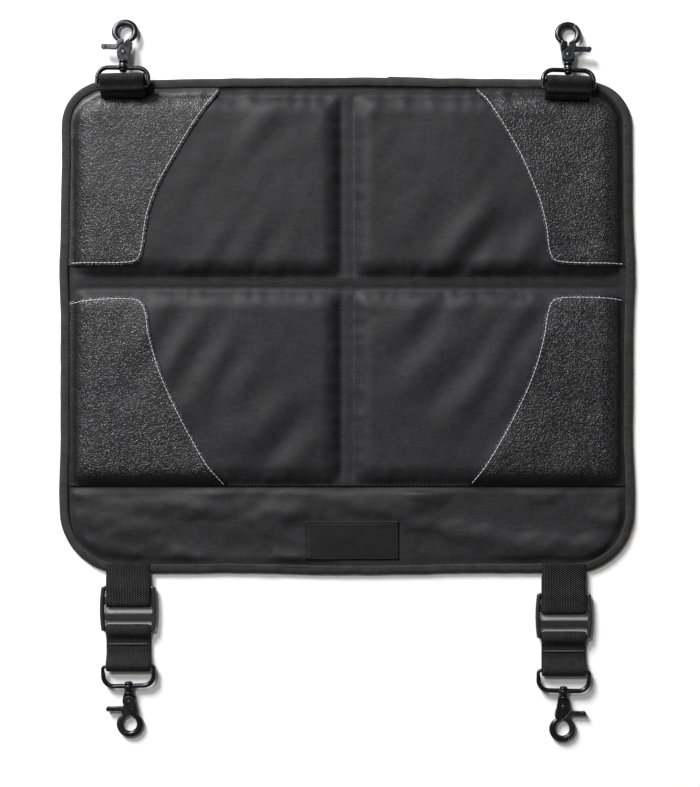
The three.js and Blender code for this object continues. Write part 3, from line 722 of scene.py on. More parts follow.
def thread_material(name, color, roughness=0.45):
    """Twisted sewing thread."""
    made, tree, shader = material(name, color, roughness, Specular_IOR_Level=0.6)
    place = coordinates(tree)
    x, y, _ = split(tree, place)
    twist = wave01(tree, math_node(tree, "ADD", x, y), 0.45)
    cloud = noise(tree, place, 500, 2, 0.5)
    shade = colour_ramp(tree, cloud, [(0.3, dimmed(color, 0.7)), (0.7, dimmed(color, 1.2))])
    tree.links.new(shade, shader.inputs["Base Color"])
    bump(tree, shader, [(twist, 0.6, 0.12)])
    return made


front_cloth = cloth_material("front cloth", (0.0132, 0.0129, 0.0142))
band_cloth = cloth_material("band cloth", (0.0136, 0.0134, 0.0145))
back_cloth = cloth_material("back cloth", (0.012, 0.012, 0.0125), weave=0.9)
pebbled_vinyl = vinyl_material("pebbled vinyl")
grosgrain = tape_material("grosgrain")
heavy_webbing = webbing_material("heavy webbing")
black_metal = metal_material("black plated metal", (0.03, 0.031, 0.034), 0.26)
gate_metal = metal_material("gate metal", (0.045, 0.048, 0.054), 0.34)
rivet_metal = metal_material("rivet metal", (0.055, 0.058, 0.064), 0.3)
spring_metal = metal_material("spring wire", (0.2, 0.2, 0.21), 0.28, 1.0, 0.1)
buckle_plastic = plastic_material("buckle plastic", (0.012, 0.0122, 0.0132), 0.42)
silver_thread = thread_material("silver thread", (0.5, 0.51, 0.53))
black_thread = thread_material("black thread", (0.009, 0.009, 0.0095), 0.6)
# Light grey for the strap's sealed ends: a painted highlight along the edge, not the webbing's own colour
edge_highlight_grey = thread_material("painted highlight grey", (0.06, 0.06, 0.062), 0.45)


# Front cover and bottom band

def make_front_cover():
    def keep(x, y):
        return (inset_at(x, y) > SHEET_INSET) & (y > SEAM_Y - 1e-6)

    xs, ys, faces = cut_grid(-HALF_WIDTH, HALF_WIDTH, SEAM_Y, HALF_HEIGHT, 2.2, keep)
    zs = cover_height(xs, ys)
    lap = smooth(ys, SEAM_Y, SEAM_Y + 2.5)
    zs = zs + 0.75 * (1 - smooth(ys, SEAM_Y + 4, SEAM_Y + 12)) * smooth(inset_at(xs, ys), 8, 12)
    zs = zs - 0.35 * (1 - lap)
    cover = thick_sheet("front cover", xs, ys, zs, faces, SHEET_THICK, front_cloth)
    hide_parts("front_cover")
    return cover


def make_band():
    def keep(x, y):
        return (inset_at(x, y) > SHEET_INSET) & (y < SEAM_Y + SEAM_LAP)

    xs, ys, faces = cut_grid(-HALF_WIDTH, HALF_WIDTH, -HALF_HEIGHT, SEAM_Y + SEAM_LAP, 1.6, keep)
    zs = band_height(xs, ys)
    zs = np.where(ys > SEAM_Y - 1.5, np.minimum(zs, COVER_REST), zs)
    band = thick_sheet("bottom band", xs, ys, zs, faces, SHEET_THICK, band_cloth)
    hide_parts("bottom_band")
    return band


front_cover = make_front_cover()
bottom_band = make_band()

# Foam inside the quadrants, hidden under the cover
foam_skin, foam_tree, foam_shader = material("foam", (0.32, 0.32, 0.3), 0.95)
foam_cells = noise(foam_tree, coordinates(foam_tree), 900, 3, 0.7)
bump(foam_tree, foam_shader, [(foam_cells, 0.8, 0.4)])

FOAM_FLOOR = 1.9
for number, (x0, x1, y0, y1) in enumerate(PADS):
    side = SIDES[number // 2]
    row = ["lower", "upper"][number % 2]

    def keep(x, y, x0=x0, x1=x1, y0=y0, y1=y1):
        inside = (x > x0 + 5) & (x < x1 - 5) & (y > y0 + 5) & (y < y1 - 5)
        return inside & (inset_at(x, y) > 18)

    xs, ys, faces = cut_grid(x0, x1, y0, y1, 4.0, keep)
    tops = cover_height(xs, ys) - 1.0
    thick = np.clip(tops - FOAM_FLOOR, 0.4, 9)
    count = len(xs)
    verts = np.concatenate([np.stack([xs, ys, FOAM_FLOOR + thick], 1),
                            np.stack([xs, ys, np.full(count, FOAM_FLOOR)], 1)])
    edge_use = {}
    for face in faces:
        for a, b in zip(face, face[1:] + face[:1]):
            edge_use[(a, b)] = edge_use.get((a, b), 0) + 1
    rim = [(a, b) for (a, b) in edge_use if (b, a) not in edge_use]
    all_faces = [list(face) for face in faces]
    all_faces += [[v + count for v in reversed(face)] for face in faces]
    all_faces += [[b, a, a + count, b + count] for a, b in rim]
    pad = new_object(f"foam pad {row} {side}", verts, all_faces, foam_skin)
    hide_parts(f"pad_{row}_{side}")


# Corner patches of vinyl, on top of the cover, their inner edges stitched

PIXEL = 0.826
CENTRE_PX = (347, 327)
STITCH_LINES = {
    "upper_left": [(218, 90.7), (194, 125.5), (173.8, 159), (159, 185.8), (148.4, 215), (143, 248.7),
                   (140.4, 258), (136.3, 261.7), (68, 263.7)],
    "lower_left": [(70.5, 304.6), (81, 302.2), (140.7, 301.7), (146.3, 310.9), (149.8, 333.3),
                   (158.2, 364.2), (168, 389.4), (179.3, 413.3), (193.3, 440), (207.3, 463.8),
                   (224.9, 484.9)],
    "upper_right": [(476.7, 90.7), (482, 95.4), (493.5, 112), (506.9, 133.6), (520.3, 157.7),
                    (529.6, 179), (539, 203), (545, 228.7), (547.7, 250), (551, 258.8), (555, 261.7),
                    (626, 264.5)],
    "lower_right": [(625.6, 301.5), (611.5, 299.2), (555.4, 299.6), (549.8, 303.9), (546.3, 315),
                    (542.8, 336), (535.8, 362.8), (526, 389.4), (516, 410.5), (502, 437), (485, 465),
                    (471, 483.5)],
}
PATCH_MARGIN = 2.1
PATCH_THICK = 0.9
PATCH_RIM_INSET = 3.6
PATCH_BORDER_INSET = 3.4
PATCH_SIDE_INSET = 3.2
SAME_POINT = 0.4


def to_mat(point):
    return (point[0] - CENTRE_PX[0]) * PIXEL, (CENTRE_PX[1] - point[1]) * PIXEL


def parallel_line(points, distance):
    points = np.asarray(points, float)
    ahead = np.gradient(points, axis=0)
    ahead /= np.linalg.norm(ahead, axis=1)[:, None]
    return points + np.stack([-ahead[:, 1], ahead[:, 0]], 1) * distance


def patch_height(x, y):
    base = cover_height(x, y)
    for shift in (2.0, -2.0):
        base = np.maximum(base, cover_height(x + shift, y) - 0.12)
        base = np.maximum(base, cover_height(x, y + shift) - 0.12)
    near_rim = 0.45 + PATCH_THICK + 9 * smooth(inset_at(x, y), 8.5, 24)
    return np.minimum(base + PATCH_THICK + 0.1, COVER_REST + near_rim)


def mark_grain(patch):
    """The emboss fades out where the vinyl is pressed flat, along the binding and the seam."""
    mesh = patch.data
    places = np.empty(len(mesh.vertices) * 3)
    mesh.vertices.foreach_get("co", places)
    x, y = places.reshape(-1, 3)[:, :2].T / MM
    from_edge = np.minimum(inset_at(x, y) - BINDING_WIDTH, y - SEAM_Y - 3)
    layer = mesh.attributes.new("grain", "FLOAT", "POINT")
    layer.data.foreach_set("value", 0.25 + 0.75 * smooth(from_edge, 4, 10))


for name, pixels in STITCH_LINES.items():
    line = spline([to_mat(p) for p in pixels], 3.0)
    middle = np.array([0.0, OVAL_Y])
    towards = line[len(line) // 2] - middle
    ahead = line[len(line) // 2 + 1] - line[len(line) // 2 - 1]
    left_is_inward = (-ahead[1] * towards[0] + ahead[0] * towards[1]) < 0
    rim = parallel_line(line, PATCH_MARGIN if left_is_inward else -PATCH_MARGIN)
    corner_x = math.copysign(1, towards[0])
    corner_y = math.copysign(1, towards[1])
    low_limit = SEAM_Y + 1.0
    keep_rim = [p for p in rim if inset_at(p[0], p[1]) > PATCH_RIM_INSET and p[1] > low_limit]
    first, last = np.array(keep_rim[0]), np.array(keep_rim[-1])
    if corner_y > 0:
        ring, _ = outline_points(PATCH_BORDER_INSET)
        near = [p for p in ring if p[0] * corner_x > min(abs(first[0]), abs(last[0])) and
                p[1] > min(first[1], last[1])]
        border = sorted(near, key=lambda p: math.atan2(p[1] - 60, p[0] * corner_x - 60))
        start_high = last[1] > first[1]
        if start_high:
            border = border[::-1]
        top_end, side_end = (last, first) if start_high else (first, last)
        border = [p for p in border if p[1] > side_end[1] and p[0] * corner_x > top_end[0] * corner_x]
    else:
        side_x = corner_x * (HALF_WIDTH - PATCH_SIDE_INSET)
        side_high = first if first[1] > last[1] else last
        side_low = last if side_high is first else first
        stretch = np.linspace(side_high[1], low_limit, 30)
        border = [np.array([side_x, y]) for y in stretch]
        border += [np.array([x, low_limit]) for x in np.linspace(side_x, side_low[0], 30)[1:]]
        if side_high is first:
            border = border[::-1]
    outline = list(keep_rim) + list(border)
    cleaned = [outline[0]]
    for p in outline[1:]:
        if np.linalg.norm(np.asarray(p) - cleaned[-1]) > SAME_POINT:
            cleaned.append(np.asarray(p))
    if np.linalg.norm(np.asarray(cleaned[0]) - cleaned[-1]) < SAME_POINT:
        cleaned.pop()
    patch = polygon_sheet(f"corner patch {name}", cleaned, patch_height, PATCH_THICK, pebbled_vinyl)
    mark_grain(patch)
    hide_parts(f"patch_{name}")
    seen = [p for p in line if inset_at(p[0], p[1]) > 7.6]
    capsule_run(seen, 0.34, 3.3, 0.12, silver_thread, f"patch stitching {name}",
                lambda x, y: patch_height(x, y) + 0.12, dive=0.4)


# Edge binding: tape folded over the rim and stitched down

BINDING_SECTION = [
    (7.7, 3.75), (7.4, 4.15), (6.6, 4.35), (5.2, 4.5), (3.4, 4.5), (1.7, 4.1), (0.6, 3.2), (0.0, 1.9),
    (0.35, 0.75), (1.3, 0.1), (3.2, 0.0), (5.6, 0.0), (7.4, 0.05), (7.4, 0.55), (5.6, 0.6),
    (3.4, 0.6), (1.9, 0.75), (1.1, 1.3), (1.1, 2.4), (1.9, 3.3), (3.4, 3.8), (5.6, 3.8), (7.3, 3.55),
]
tape_swell = waves(41, 18, 60, 18)


def make_binding():
    path, normals = outline_points(0.0, 2.0)
    count = len(path)
    swell = tape_swell(path[:, 0], path[:, 1])
    sections, sides, centre = [], [], []
    for i in range(count):
        nx, ny = normals[i]
        profile = []
        near_step = 0.0
        if path[i][1] > 0:
            beyond = path[i][0] - TAPE_END_X
            if 0 <= beyond < TAPE_END_RUN:
                near_step = (1 - beyond / TAPE_END_RUN) * TAPE_END_STEP
        for a, b in BINDING_SECTION:
            puff = 1 + 0.06 * swell[i] if 1.5 < a < 7 and b > 3.9 else 1.0
            lift = near_step * 0.5 if b > 2.4 else 0.0
            grow = -near_step if a < 1 else 0.0
            profile.append((-(a + grow), b * puff + lift))
        sections.append(profile)
        sides.append(((nx, ny, 0), (0, 0, 1)))
        centre.append((path[i][0], path[i][1], 0))
    verts, faces, uvs = sweep(np.array(centre), sides, sections, closed=True)
    binding = new_object("edge binding", verts, faces, grosgrain, uvs=uvs)
    fix_normals(binding)
    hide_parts("edge_binding")
    inner, _ = outline_points(6.2, 2.0)
    closed = np.concatenate([inner, inner[:1]])
    capsule_run(closed, 0.3, 2.3, 0.6, black_thread, "binding stitching", 4.32)


make_binding()


# Back cover

def make_back():
    def keep(x, y):
        return inset_at(x, y) > SHEET_INSET

    xs, ys, faces = cut_grid(-HALF_WIDTH, HALF_WIDTH, -HALF_HEIGHT, HALF_HEIGHT, 5.0, keep)
    zs = np.full(len(xs), 1.6)
    back = thick_sheet("back cover", xs, ys, zs, faces, 0.7, back_cloth)
    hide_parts("back_cover")
    return back


back_cover = make_back()


# Label, left bare: satin cloth, its edge turned under and stitched round

def make_label():
    satin, tree, shader = material("satin", (0.0085, 0.0085, 0.009), 0.5, Specular_IOR_Level=0.18)
    place = coordinates(tree)
    x, y, _ = split(tree, place)
    lines = wave01(tree, y, 0.35)
    cloud = noise(tree, place, 70, 3, 0.5)
    rough = colour_ramp(tree, cloud, [(0.3, (0.36,) * 3), (0.7, (0.52,) * 3)])
    tree.links.new(rough, shader.inputs["Roughness"])
    bump(tree, shader, [(lines, 0.4, 0.08), (cloud, 0.4, 0.6)])
    low, high = label_low, label_high
    xs, ys, faces = cut_grid(low[0], high[0], low[1], high[1], 0.8, lambda x, y: x > -1e6)
    wobble = waves(51, 30, 70, 12)
    xs2 = xs + 0.25 * wobble(ys, xs)
    ys2 = ys + 0.25 * wobble(xs, ys + 100)
    rim = np.minimum(np.minimum(xs - low[0], high[0] - xs), np.minimum(ys - low[1], high[1] - ys))
    zs = band_height(xs2, ys2) + 0.75 + 0.35 * smooth(rim, 0, 0.8)
    zs = zs - 0.22 * np.exp(-((rim - 2.0) / 0.6) ** 2)
    label = thick_sheet("label", xs2, ys2, zs, faces, 0.5, satin)
    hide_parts("label")
    inset = 2.0
    path = [(low[0] + inset, low[1] + inset), (high[0] - inset, low[1] + inset),
            (high[0] - inset, high[1] - inset), (low[0] + inset, high[1] - inset),
            (low[0] + inset, low[1] + inset)]
    dense = []
    for a, b in zip(path[:-1], path[1:]):
        for t in np.linspace(0, 1, 40, endpoint=False):
            dense.append((a[0] + (b[0] - a[0]) * t, a[1] + (b[1] - a[1]) * t))
    dense.append(path[-1])
    capsule_run(dense, 0.2, 1.7, 0.5, black_thread, "label stitching",
                lambda x, y: band_height(x, y) + 0.95)


make_label()


# Seams in black thread

def straight(a, b, step=4.0):
    count = max(2, int(math.dist(a, b) / step))
    return [(a[0] + (b[0] - a[0]) * i / count, a[1] + (b[1] - a[1]) * i / count) for i in range(count + 1)]


inner_x = HALF_WIDTH - 9
inner_y = HALF_HEIGHT - 9
STITCH_OFFSET = 1.2
left, right = CHANNEL_LEFT + STITCH_OFFSET, CHANNEL_RIGHT - STITCH_OFFSET
under, above = CHANNEL_LOW + STITCH_OFFSET, CHANNEL_HIGH - STITCH_OFFSET
for side, start, end in (
        ("left", (left, SEAM_Y + 3), (left, inner_y)), ("right", (right, SEAM_Y + 3), (right, inner_y)),
        ("low", (-inner_x, under), (inner_x, under)), ("high", (-inner_x, above), (inner_x, above))):
    capsule_run(straight(start, end), 0.26, 2.4, 0.8, black_thread, f"channel stitching {side}",
                lambda x, y: cover_height(x, y) + 0.03)
SEAM_STITCH_LIFT = 0.78
capsule_run(straight((-inner_x, SEAM_Y + 1.6), (inner_x, SEAM_Y + 1.6)), 0.3, 2.6, 0.7, black_thread,
            "seam topstitching", lambda x, y: cover_height(x, y) + SEAM_STITCH_LIFT)


# Webbing: loops at the top, upper and lower straps at the bottom

WEB_THICK = 1.6
HALF_WEB = WEB_THICK / 2
WEB_WIDTH = 36.4
joints = {joint["name"]: joint for joint in frame["joints"]}


def web_section(width):
    """A flat section with rounded selvages, as (across, through) points."""
    half = width / 2
    top, under = [], []
    for t in np.linspace(-1, 1, 15):
        across = half * (t * 0.985)
        edge = (1 - abs(t) ** 14) ** 0.5
        thickness = HALF_WEB * (0.35 + 0.65 * edge) * 0.97
        top.append((across, thickness))
        under.append((across, -thickness))
    return top + [(half, 0.0)] + under[::-1] + [(-half, 0.0)]


def make_webbing(name, route, place_x, node, turn=0.0, closed=False, pivot_y=0.0):
    """Webbing along a route of (y, z) points, centred on place_x and turned about the vertical."""
    line = spline([(0, y, z) for y, z in route], 0.5) if not closed else closed_spline(
        [(0, y, z) for y, z in route], 0.5)
    ahead = np.gradient(line, axis=0) if not closed else np.roll(line, -1, 0) - np.roll(line, 1, 0)
    ahead /= np.linalg.norm(ahead, axis=1)[:, None]
    normal = np.stack([np.zeros(len(line)), -ahead[:, 2], ahead[:, 1]], 1)
    sides = [((1, 0, 0), n) for n in normal]
    wander = waves(int(abs(place_x)) + len(route), 25, 60, 8)
    sections = []
    run = np.concatenate([[0], np.cumsum(np.linalg.norm(np.diff(line, axis=0), axis=1))])
    for distance in run:
        width = WEB_WIDTH + 0.12 * float(wander(distance, 0.0))
        sections.append(web_section(width))
    verts, faces, uvs = sweep(line, sides, sections, closed=closed)
    spun = Matrix.Rotation(math.radians(turn), 3, "Z")
    placed = []
    for v in verts:
        local = spun @ Vector((v[0], v[1] - pivot_y, v[2]))
        placed.append((local.x + place_x, local.y + pivot_y, local.z))
    webbing = new_object(name, placed, faces, heavy_webbing, uvs=uvs)
    fix_normals(webbing)
    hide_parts(node)
    return webbing


def closed_spline(points, step):
    points = [np.asarray(p, float) for p in points]
    result = []
    count = len(points)
    for i in range(count):
        around = [points[(i + k - 1) % count] for k in range(4)]
        piece = spline(around, step)
        lengths = np.linalg.norm(piece - around[1], axis=1)
        begin = int(np.argmin(lengths))
        end = int(np.argmin(np.linalg.norm(piece - around[2], axis=1)))
        result.extend(piece[begin:end])
    return np.array(result)


bar = {name: np.array(joints[f"swing_{name}"]["pos_m"]) / MM for name in CORNERS}
EYE_WIRE = 3.0
EYE_CLEARANCE = EYE_WIRE / 2 + GAP_MM + 0.2 + HALF_WEB
STRAP_END_DROP = 9.7
END_BAR = 3.7
BAR_WIDTH = 5.5
SLOTS = (6.3, 7.4, 6.4)
for name in TOPS:
    x, bar_y, bar_z = bar[name]
    around = EYE_CLEARANCE
    over = bar_z + around
    root = bar_y - 7.8
    root_low = float(patch_height(x, root)) + 0.35 + HALF_WEB
    root_high = root_low + GAP_MM + WEB_THICK
    rest = BINDING_TOP + 1.0 + HALF_WEB
    fold = bar_y + 10.4
    route = [
        (root, root_low),
        (root + 6, max(rest, root_low - 0.6)),
        (fold - 4.2, rest + 0.4),
        (fold - 0.7, bar_z - 6),
        (fold, bar_z + 0.8),
        (fold - 2.4, over + 2.9),
        (fold - 4.8, over + 3.2),
        (bar_y + 0.5, over + 0.3),
        (bar_y - (around + 1) * 0.707, bar_z + around * 0.707),
        (bar_y - around - 1, bar_z - HALF_WEB),
        (root + 2.4, root_high + 3.2),
        (root, root_high),
    ]
    tab_turn = 1.2 if name == "top_left" else -2.2
    make_webbing(f"tab {name}", route, x, f"tab_{name}", turn=tab_turn, pivot_y=bar_y)

for name in BOTTOMS:
    x, bar_y, bar_z = bar[name]
    low, high = node_box(f"buckle_{name}")
    top, bottom = high[1], low[1]
    bar1 = top - END_BAR
    bar2 = bar1 - SLOTS[0] - BAR_WIDTH
    bar3 = bar2 - SLOTS[1] - BAR_WIDTH
    bar4 = bar3 - SLOTS[2]
    lay_low = HALF_WEB
    lay_high = lay_low + WEB_THICK + GAP_MM
    over_bar = 6.4
    reach = 2.1
    edge = -HALF_HEIGHT
    on_mat = BINDING_TOP + 0.75 + HALF_WEB
    fold = bar2 - reach
    route = [
        (edge + 7.7, on_mat),
        (edge - 1.5, on_mat),
        (top + 3, (on_mat + over_bar) / 2),
        (top - 1.5, over_bar),
        ((bar1 + bar2) / 2, over_bar),
        (bar2 + 0.6, over_bar + 0.1),
        (fold + 0.7, over_bar - 0.9),
        (fold, (lay_low + over_bar) / 2),
        (fold + 0.7, lay_low + 1),
        (bar2 + 0.6, lay_low + 0.1),
        (bar2 + 4, lay_low + 0.1),
        (bar1, lay_low),
        (top, lay_low),
        (edge - 3, lay_low),
    ]
    make_webbing(f"upper strap {name}", route, x, f"upper_strap_{name}")
    around = EYE_CLEARANCE
    eye_centre = bar_y - 1.2
    middle = (bottom + bar_y) / 2
    route = [
        (bar4 + reach, (lay_low + over_bar) / 2),
        (bar4 + reach - 0.7, lay_low + 0.9),
        (bar4 - 0.6, lay_low + 0.1),
        (bottom - 3, lay_low + 0.2),
        (middle, lay_low + 0.1),
        (bar_y + 9, lay_low + 0.3),
        (bar_y + 2, bar_z - around - 0.2),
        (eye_centre, bar_z - around),
        (eye_centre - around, bar_z),
        (eye_centre, bar_z + around),
        (bar_y + 2, bar_z + around + 0.1),
        (bar_y + 10, lay_high + 0.5),
        (middle, lay_high + 0.3),
        (bottom - 6, lay_high + 0.6),
        (bottom - 0.3, over_bar),
        (bar4 - 0.6, over_bar + 0.1),
        (bar4 + reach - 0.7, over_bar - 0.9),
    ]
    make_webbing(f"lower strap {name}", route, x, f"lower_strap_{name}", closed=True)
    # Sealed cut end of the strap's upper layer: a real raised strip, its light grey a painted highlight
    # where the edge catches the light
    cut_y = bottom - STRAP_END_DROP
    cut_z = lay_high + HALF_WEB + 0.75
    cut_edge = [(x - WEB_WIDTH / 2 + 0.4, cut_y), (x + WEB_WIDTH / 2 - 0.4, cut_y)]
    capsule_run(cut_edge, 0.5, WEB_WIDTH, 0.0, edge_highlight_grey, f"sealed strap end {name}", cut_z,
                rings=16, dive=0.3)


# Solid pieces: closed shapes joined by remeshing, which also rounds their edges

class Shape:
    """A collection of closed shapes in millimetres, to be joined into one skin."""

    def __init__(self):
        self.mesh = bmesh.new()

    def prism(self, outline, low, high):
        base = [self.mesh.verts.new((p[0], p[1], low)) for p in outline]
        top = [self.mesh.verts.new((p[0], p[1], high)) for p in outline]
        faces = [self.mesh.faces.new(base[::-1]), self.mesh.faces.new(top)]
        count = len(outline)
        for i in range(count):
            k = (i + 1) % count
            faces.append(self.mesh.faces.new((base[i], base[k], top[k], top[i])))
        area = sum(a[0] * b[1] - a[1] * b[0] for a, b in zip(outline, outline[1:] + outline[:1]))
        if area < 0:
            bmesh.ops.reverse_faces(self.mesh, faces=faces)

    def lathe(self, profile, centre=(0, 0, 0), axis="Y", sides=48):
        """A profile of (radius, along) points turned about an axis; it starts and ends on the axis."""
        rings = []
        for radius, along in profile:
            if radius < 1e-6:
                rings.append([self.mesh.verts.new(self.placed(0, along, 0, centre, axis))])
                continue
            ring = []
            for k in range(sides):
                angle = math.tau * k / sides
                spot = self.placed(radius * math.cos(angle), along, radius * math.sin(angle), centre, axis)
                ring.append(self.mesh.verts.new(spot))
            rings.append(ring)
        faces = []
        for a, b in zip(rings[:-1], rings[1:]):
            for k in range(sides):
                l = (k + 1) % sides
                if len(a) == 1 and len(b) == 1:
                    continue
                if len(a) == 1:
                    faces.append(self.mesh.faces.new((a[0], b[k], b[l])))
                elif len(b) == 1:
                    faces.append(self.mesh.faces.new((a[k], b[0], a[l])))
                else:
                    faces.append(self.mesh.faces.new((a[k], b[k], b[l], a[l])))
        self.outward(faces)

    @staticmethod
    def placed(a, along, b, centre, axis):
        if axis == "Y":
            return (centre[0] + a, centre[1] + along, centre[2] + b)
        return (centre[0] + a, centre[1] + b, centre[2] + along)

    def tube(self, path, radius, flat=1.0, sides=20, closed=False):
        """A round bar along (x, y) points at z 0, its ends capped."""
        path = np.asarray(path, float)
        count = len(path)
        ahead = np.roll(path, -1, 0) - np.roll(path, 1, 0) if closed else np.gradient(path, axis=0)
        ahead /= np.linalg.norm(ahead, axis=1)[:, None]
        rings = []
        for i in range(count):
            out = np.array([ahead[i][1], -ahead[i][0]])
            r = radius[i] if hasattr(radius, "__len__") else radius
            ring = []
            for k in range(sides):
                angle = math.tau * k / sides
                spot = path[i] + out * r * math.cos(angle)
                ring.append(self.mesh.verts.new((spot[0], spot[1], flat * r * math.sin(angle))))
            rings.append(ring)
        self.skin(rings, closed)

    def skin(self, rings, closed=False):
        """Join rings of vertices into a closed skin, with end caps unless it closes on itself."""
        faces = []
        pairs = list(zip(rings[:-1], rings[1:])) + ([(rings[-1], rings[0])] if closed else [])
        for a, b in pairs:
            for k in range(len(a)):
                l = (k + 1) % len(a)
                faces.append(self.mesh.faces.new((a[k], a[l], b[l], b[k])))
        if not closed:
            faces.append(self.mesh.faces.new(rings[0][::-1]))
            faces.append(self.mesh.faces.new(rings[-1]))
        self.outward(faces)

    def outward(self, faces):
        bmesh.ops.recalc_face_normals(self.mesh, faces=faces)
        volume = 0.0
        for face in faces:
            first = face.verts[0].co
            for a, b in zip(face.verts[1:-1], face.verts[2:]):
                volume += first.dot(a.co.cross(b.co))
        if volume < 0:
            bmesh.ops.reverse_faces(self.mesh, faces=faces)

    def finish(self, name, placing, look, voxel, body, node, slot, passes=3):
        """Join the shapes into one object at its place and let it stand for a CAD node."""
        name = name.replace(" ", "-")
        data = bpy.data.meshes.new(name)
        bmesh.ops.scale(self.mesh, vec=(MM, MM, MM), verts=self.mesh.verts)
        self.mesh.to_mesh(data)
        self.mesh.free()
        obj = bpy.data.objects.new(name, data)
        bpy.context.scene.collection.objects.link(obj)
        joined = obj.modifiers.new("joined", "REMESH")
        joined.mode = "VOXEL"
        joined.voxel_size = voxel * MM
        joined.use_smooth_shade = True
        soft = obj.modifiers.new("softened", "SMOOTH")
        soft.factor = 0.5
        soft.iterations = passes
        apply_modifiers(obj)
        obj.data.transform(placing)
        obj.data.materials.append(look)
        obj.data.shade_smooth()
        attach(obj, body)
        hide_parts(node)
        return obj


def arc(x, y, radius, start, end, count):
    angles = np.radians(np.linspace(start, end, count))
    return [(x + radius * math.cos(a), y + radius * math.sin(a)) for a in angles]


# Slide buckles: a bowed frame and four bars, two of them under webbing

RAIL_BOW = 1.3
RAIL_RADIUS = 1.95

for name in BOTTOMS:
    low, high = node_box(f"buckle_{name}")
    centre_x = (low[0] + high[0]) / 2
    half = (high[0] - low[0]) / 2
    top, bottom = high[1], low[1]
    middle = (top + bottom) / 2
    base, crest = low[2], high[2]
    shape = Shape()
    rail_mid = half - 1.9
    for side in (-1, 1):
        path = []
        for t in np.linspace(-1, 1, 40):
            y = middle + t * (top - bottom) / 2 * 0.93
            path.append((centre_x + side * (rail_mid - RAIL_BOW * t * t), y))
        height = crest - base
        shape.tube(path, RAIL_RADIUS, flat=height / (2 * RAIL_RADIUS), sides=16)
    z_shift = (base + crest) / 2
    for vert in shape.mesh.verts:
        vert.co.z += z_shift
    edges = [(top - 0.1, top - 3.6, crest - 0.9), (top - 10.0, top - 15.5, crest - 1.3),
             (top - 22.9, top - 28.4, crest - 1.1), (bottom + 3.6, bottom + 0.1, crest - 0.9)]
    for number, (y_high, y_low, z_top) in enumerate(edges):
        reach = half - 2.6
        outline = [(centre_x - reach, y_low), (centre_x + reach, y_low),
                   (centre_x + reach, y_high), (centre_x - reach, y_high)]
        if number in (0, 3):
            rounding = 4.2
            far = half - RAIL_BOW - 0.1
            if number == 0:
                outline = [(centre_x - far, y_low - 0.6), (centre_x + far, y_low - 0.6)]
                outline += arc(centre_x + far - rounding, y_high - rounding, rounding, 0, 90, 8)
                outline += arc(centre_x - far + rounding, y_high - rounding, rounding, 90, 180, 8)
            else:
                outline = [(centre_x + far, y_high + 0.6), (centre_x - far, y_high + 0.6)]
                outline += arc(centre_x - far + rounding, y_low + rounding, rounding, 180, 270, 8)
                outline += arc(centre_x + far - rounding, y_low + rounding, rounding, 270, 360, 8)
        shape.prism(outline, base + 0.1, z_top)
    shape.finish(f"buckle {name}", Matrix.Identity(4), buckle_plastic, 0.46, MAT_BODY,
                 f"buckle_{name}", "buckle")


# Swivel eyes, hooks, gates, rivets and springs, each in its own frame:
# the origin lies on the eye's bar, Y runs along the swivel and Z along the gate's pin

WIRE_X = 21.15
WIRE_Y = 17.0
BAR_RADIUS = 1.46
LOOP_RADIUS = 1.95
LOOP_SHIFT = 0.45
BOSS_LOW = 15.2
BOSS_HIGH = 20.4
RIVET_Y = 29.8
RING_Y = 48.3
RING_MID = 8.3
RING_BAR = 2.72
HALF_THICK = 2.15
SPLIT = 0.17


def local_frame(name):
    swing = joints[f"swing_{name}"]
    along = Vector(joints[f"swivel_{name}"]["axis"]).normalized()
    up = Vector(joints[f"gate_{name}"]["axis"])
    up = (up - along * up.dot(along)).normalized()
    across = along.cross(up)
    place = Matrix((across, along, up)).transposed().to_4x4()
    place.translation = Vector(swing["pos_m"])
    return place


def eye_shape():
    shape = Shape()
    corner, shoulder = 2.6, 8.5
    side_x = WIRE_X - LOOP_SHIFT
    top_y = WIRE_Y - LOOP_SHIFT
    path = arc(side_x - shoulder, top_y - shoulder, shoulder, 0, 90, 18)
    path += [(x, top_y) for x in np.linspace(side_x - shoulder - 1.5, shoulder - side_x + 1.5, 18)]
    path += arc(shoulder - side_x, top_y - shoulder, shoulder, 90, 180, 18)
    thick = [LOOP_RADIUS] * len(path)
    path += arc(corner - WIRE_X, corner, corner, 180, 270, 8)
    path += [(x, 0.0) for x in np.linspace(corner - WIRE_X + 1.5, WIRE_X - corner - 1.5, 26)]
    path += arc(WIRE_X - corner, corner, corner, -90, 0, 8)
    thick += [BAR_RADIUS] * (len(path) - len(thick))
    shape.tube(path, thick, sides=20, closed=True)
    bore = 1.9
    middle = (BOSS_LOW + BOSS_HIGH) / 2
    profile = [(bore, BOSS_LOW), (3.1, BOSS_LOW), (3.75, BOSS_LOW + 0.7), (3.95, middle),
               (3.75, BOSS_HIGH - 0.7), (3.1, BOSS_HIGH), (bore, BOSS_HIGH)]
    rings = []
    sides = 48
    for radius, along in profile:
        ring = []
        for k in range(sides):
            angle = math.tau * k / sides
            ring.append(shape.mesh.verts.new((radius * math.cos(angle), along, radius * math.sin(angle))))
        rings.append(ring)
    shape.skin(rings, closed=True)
    return shape


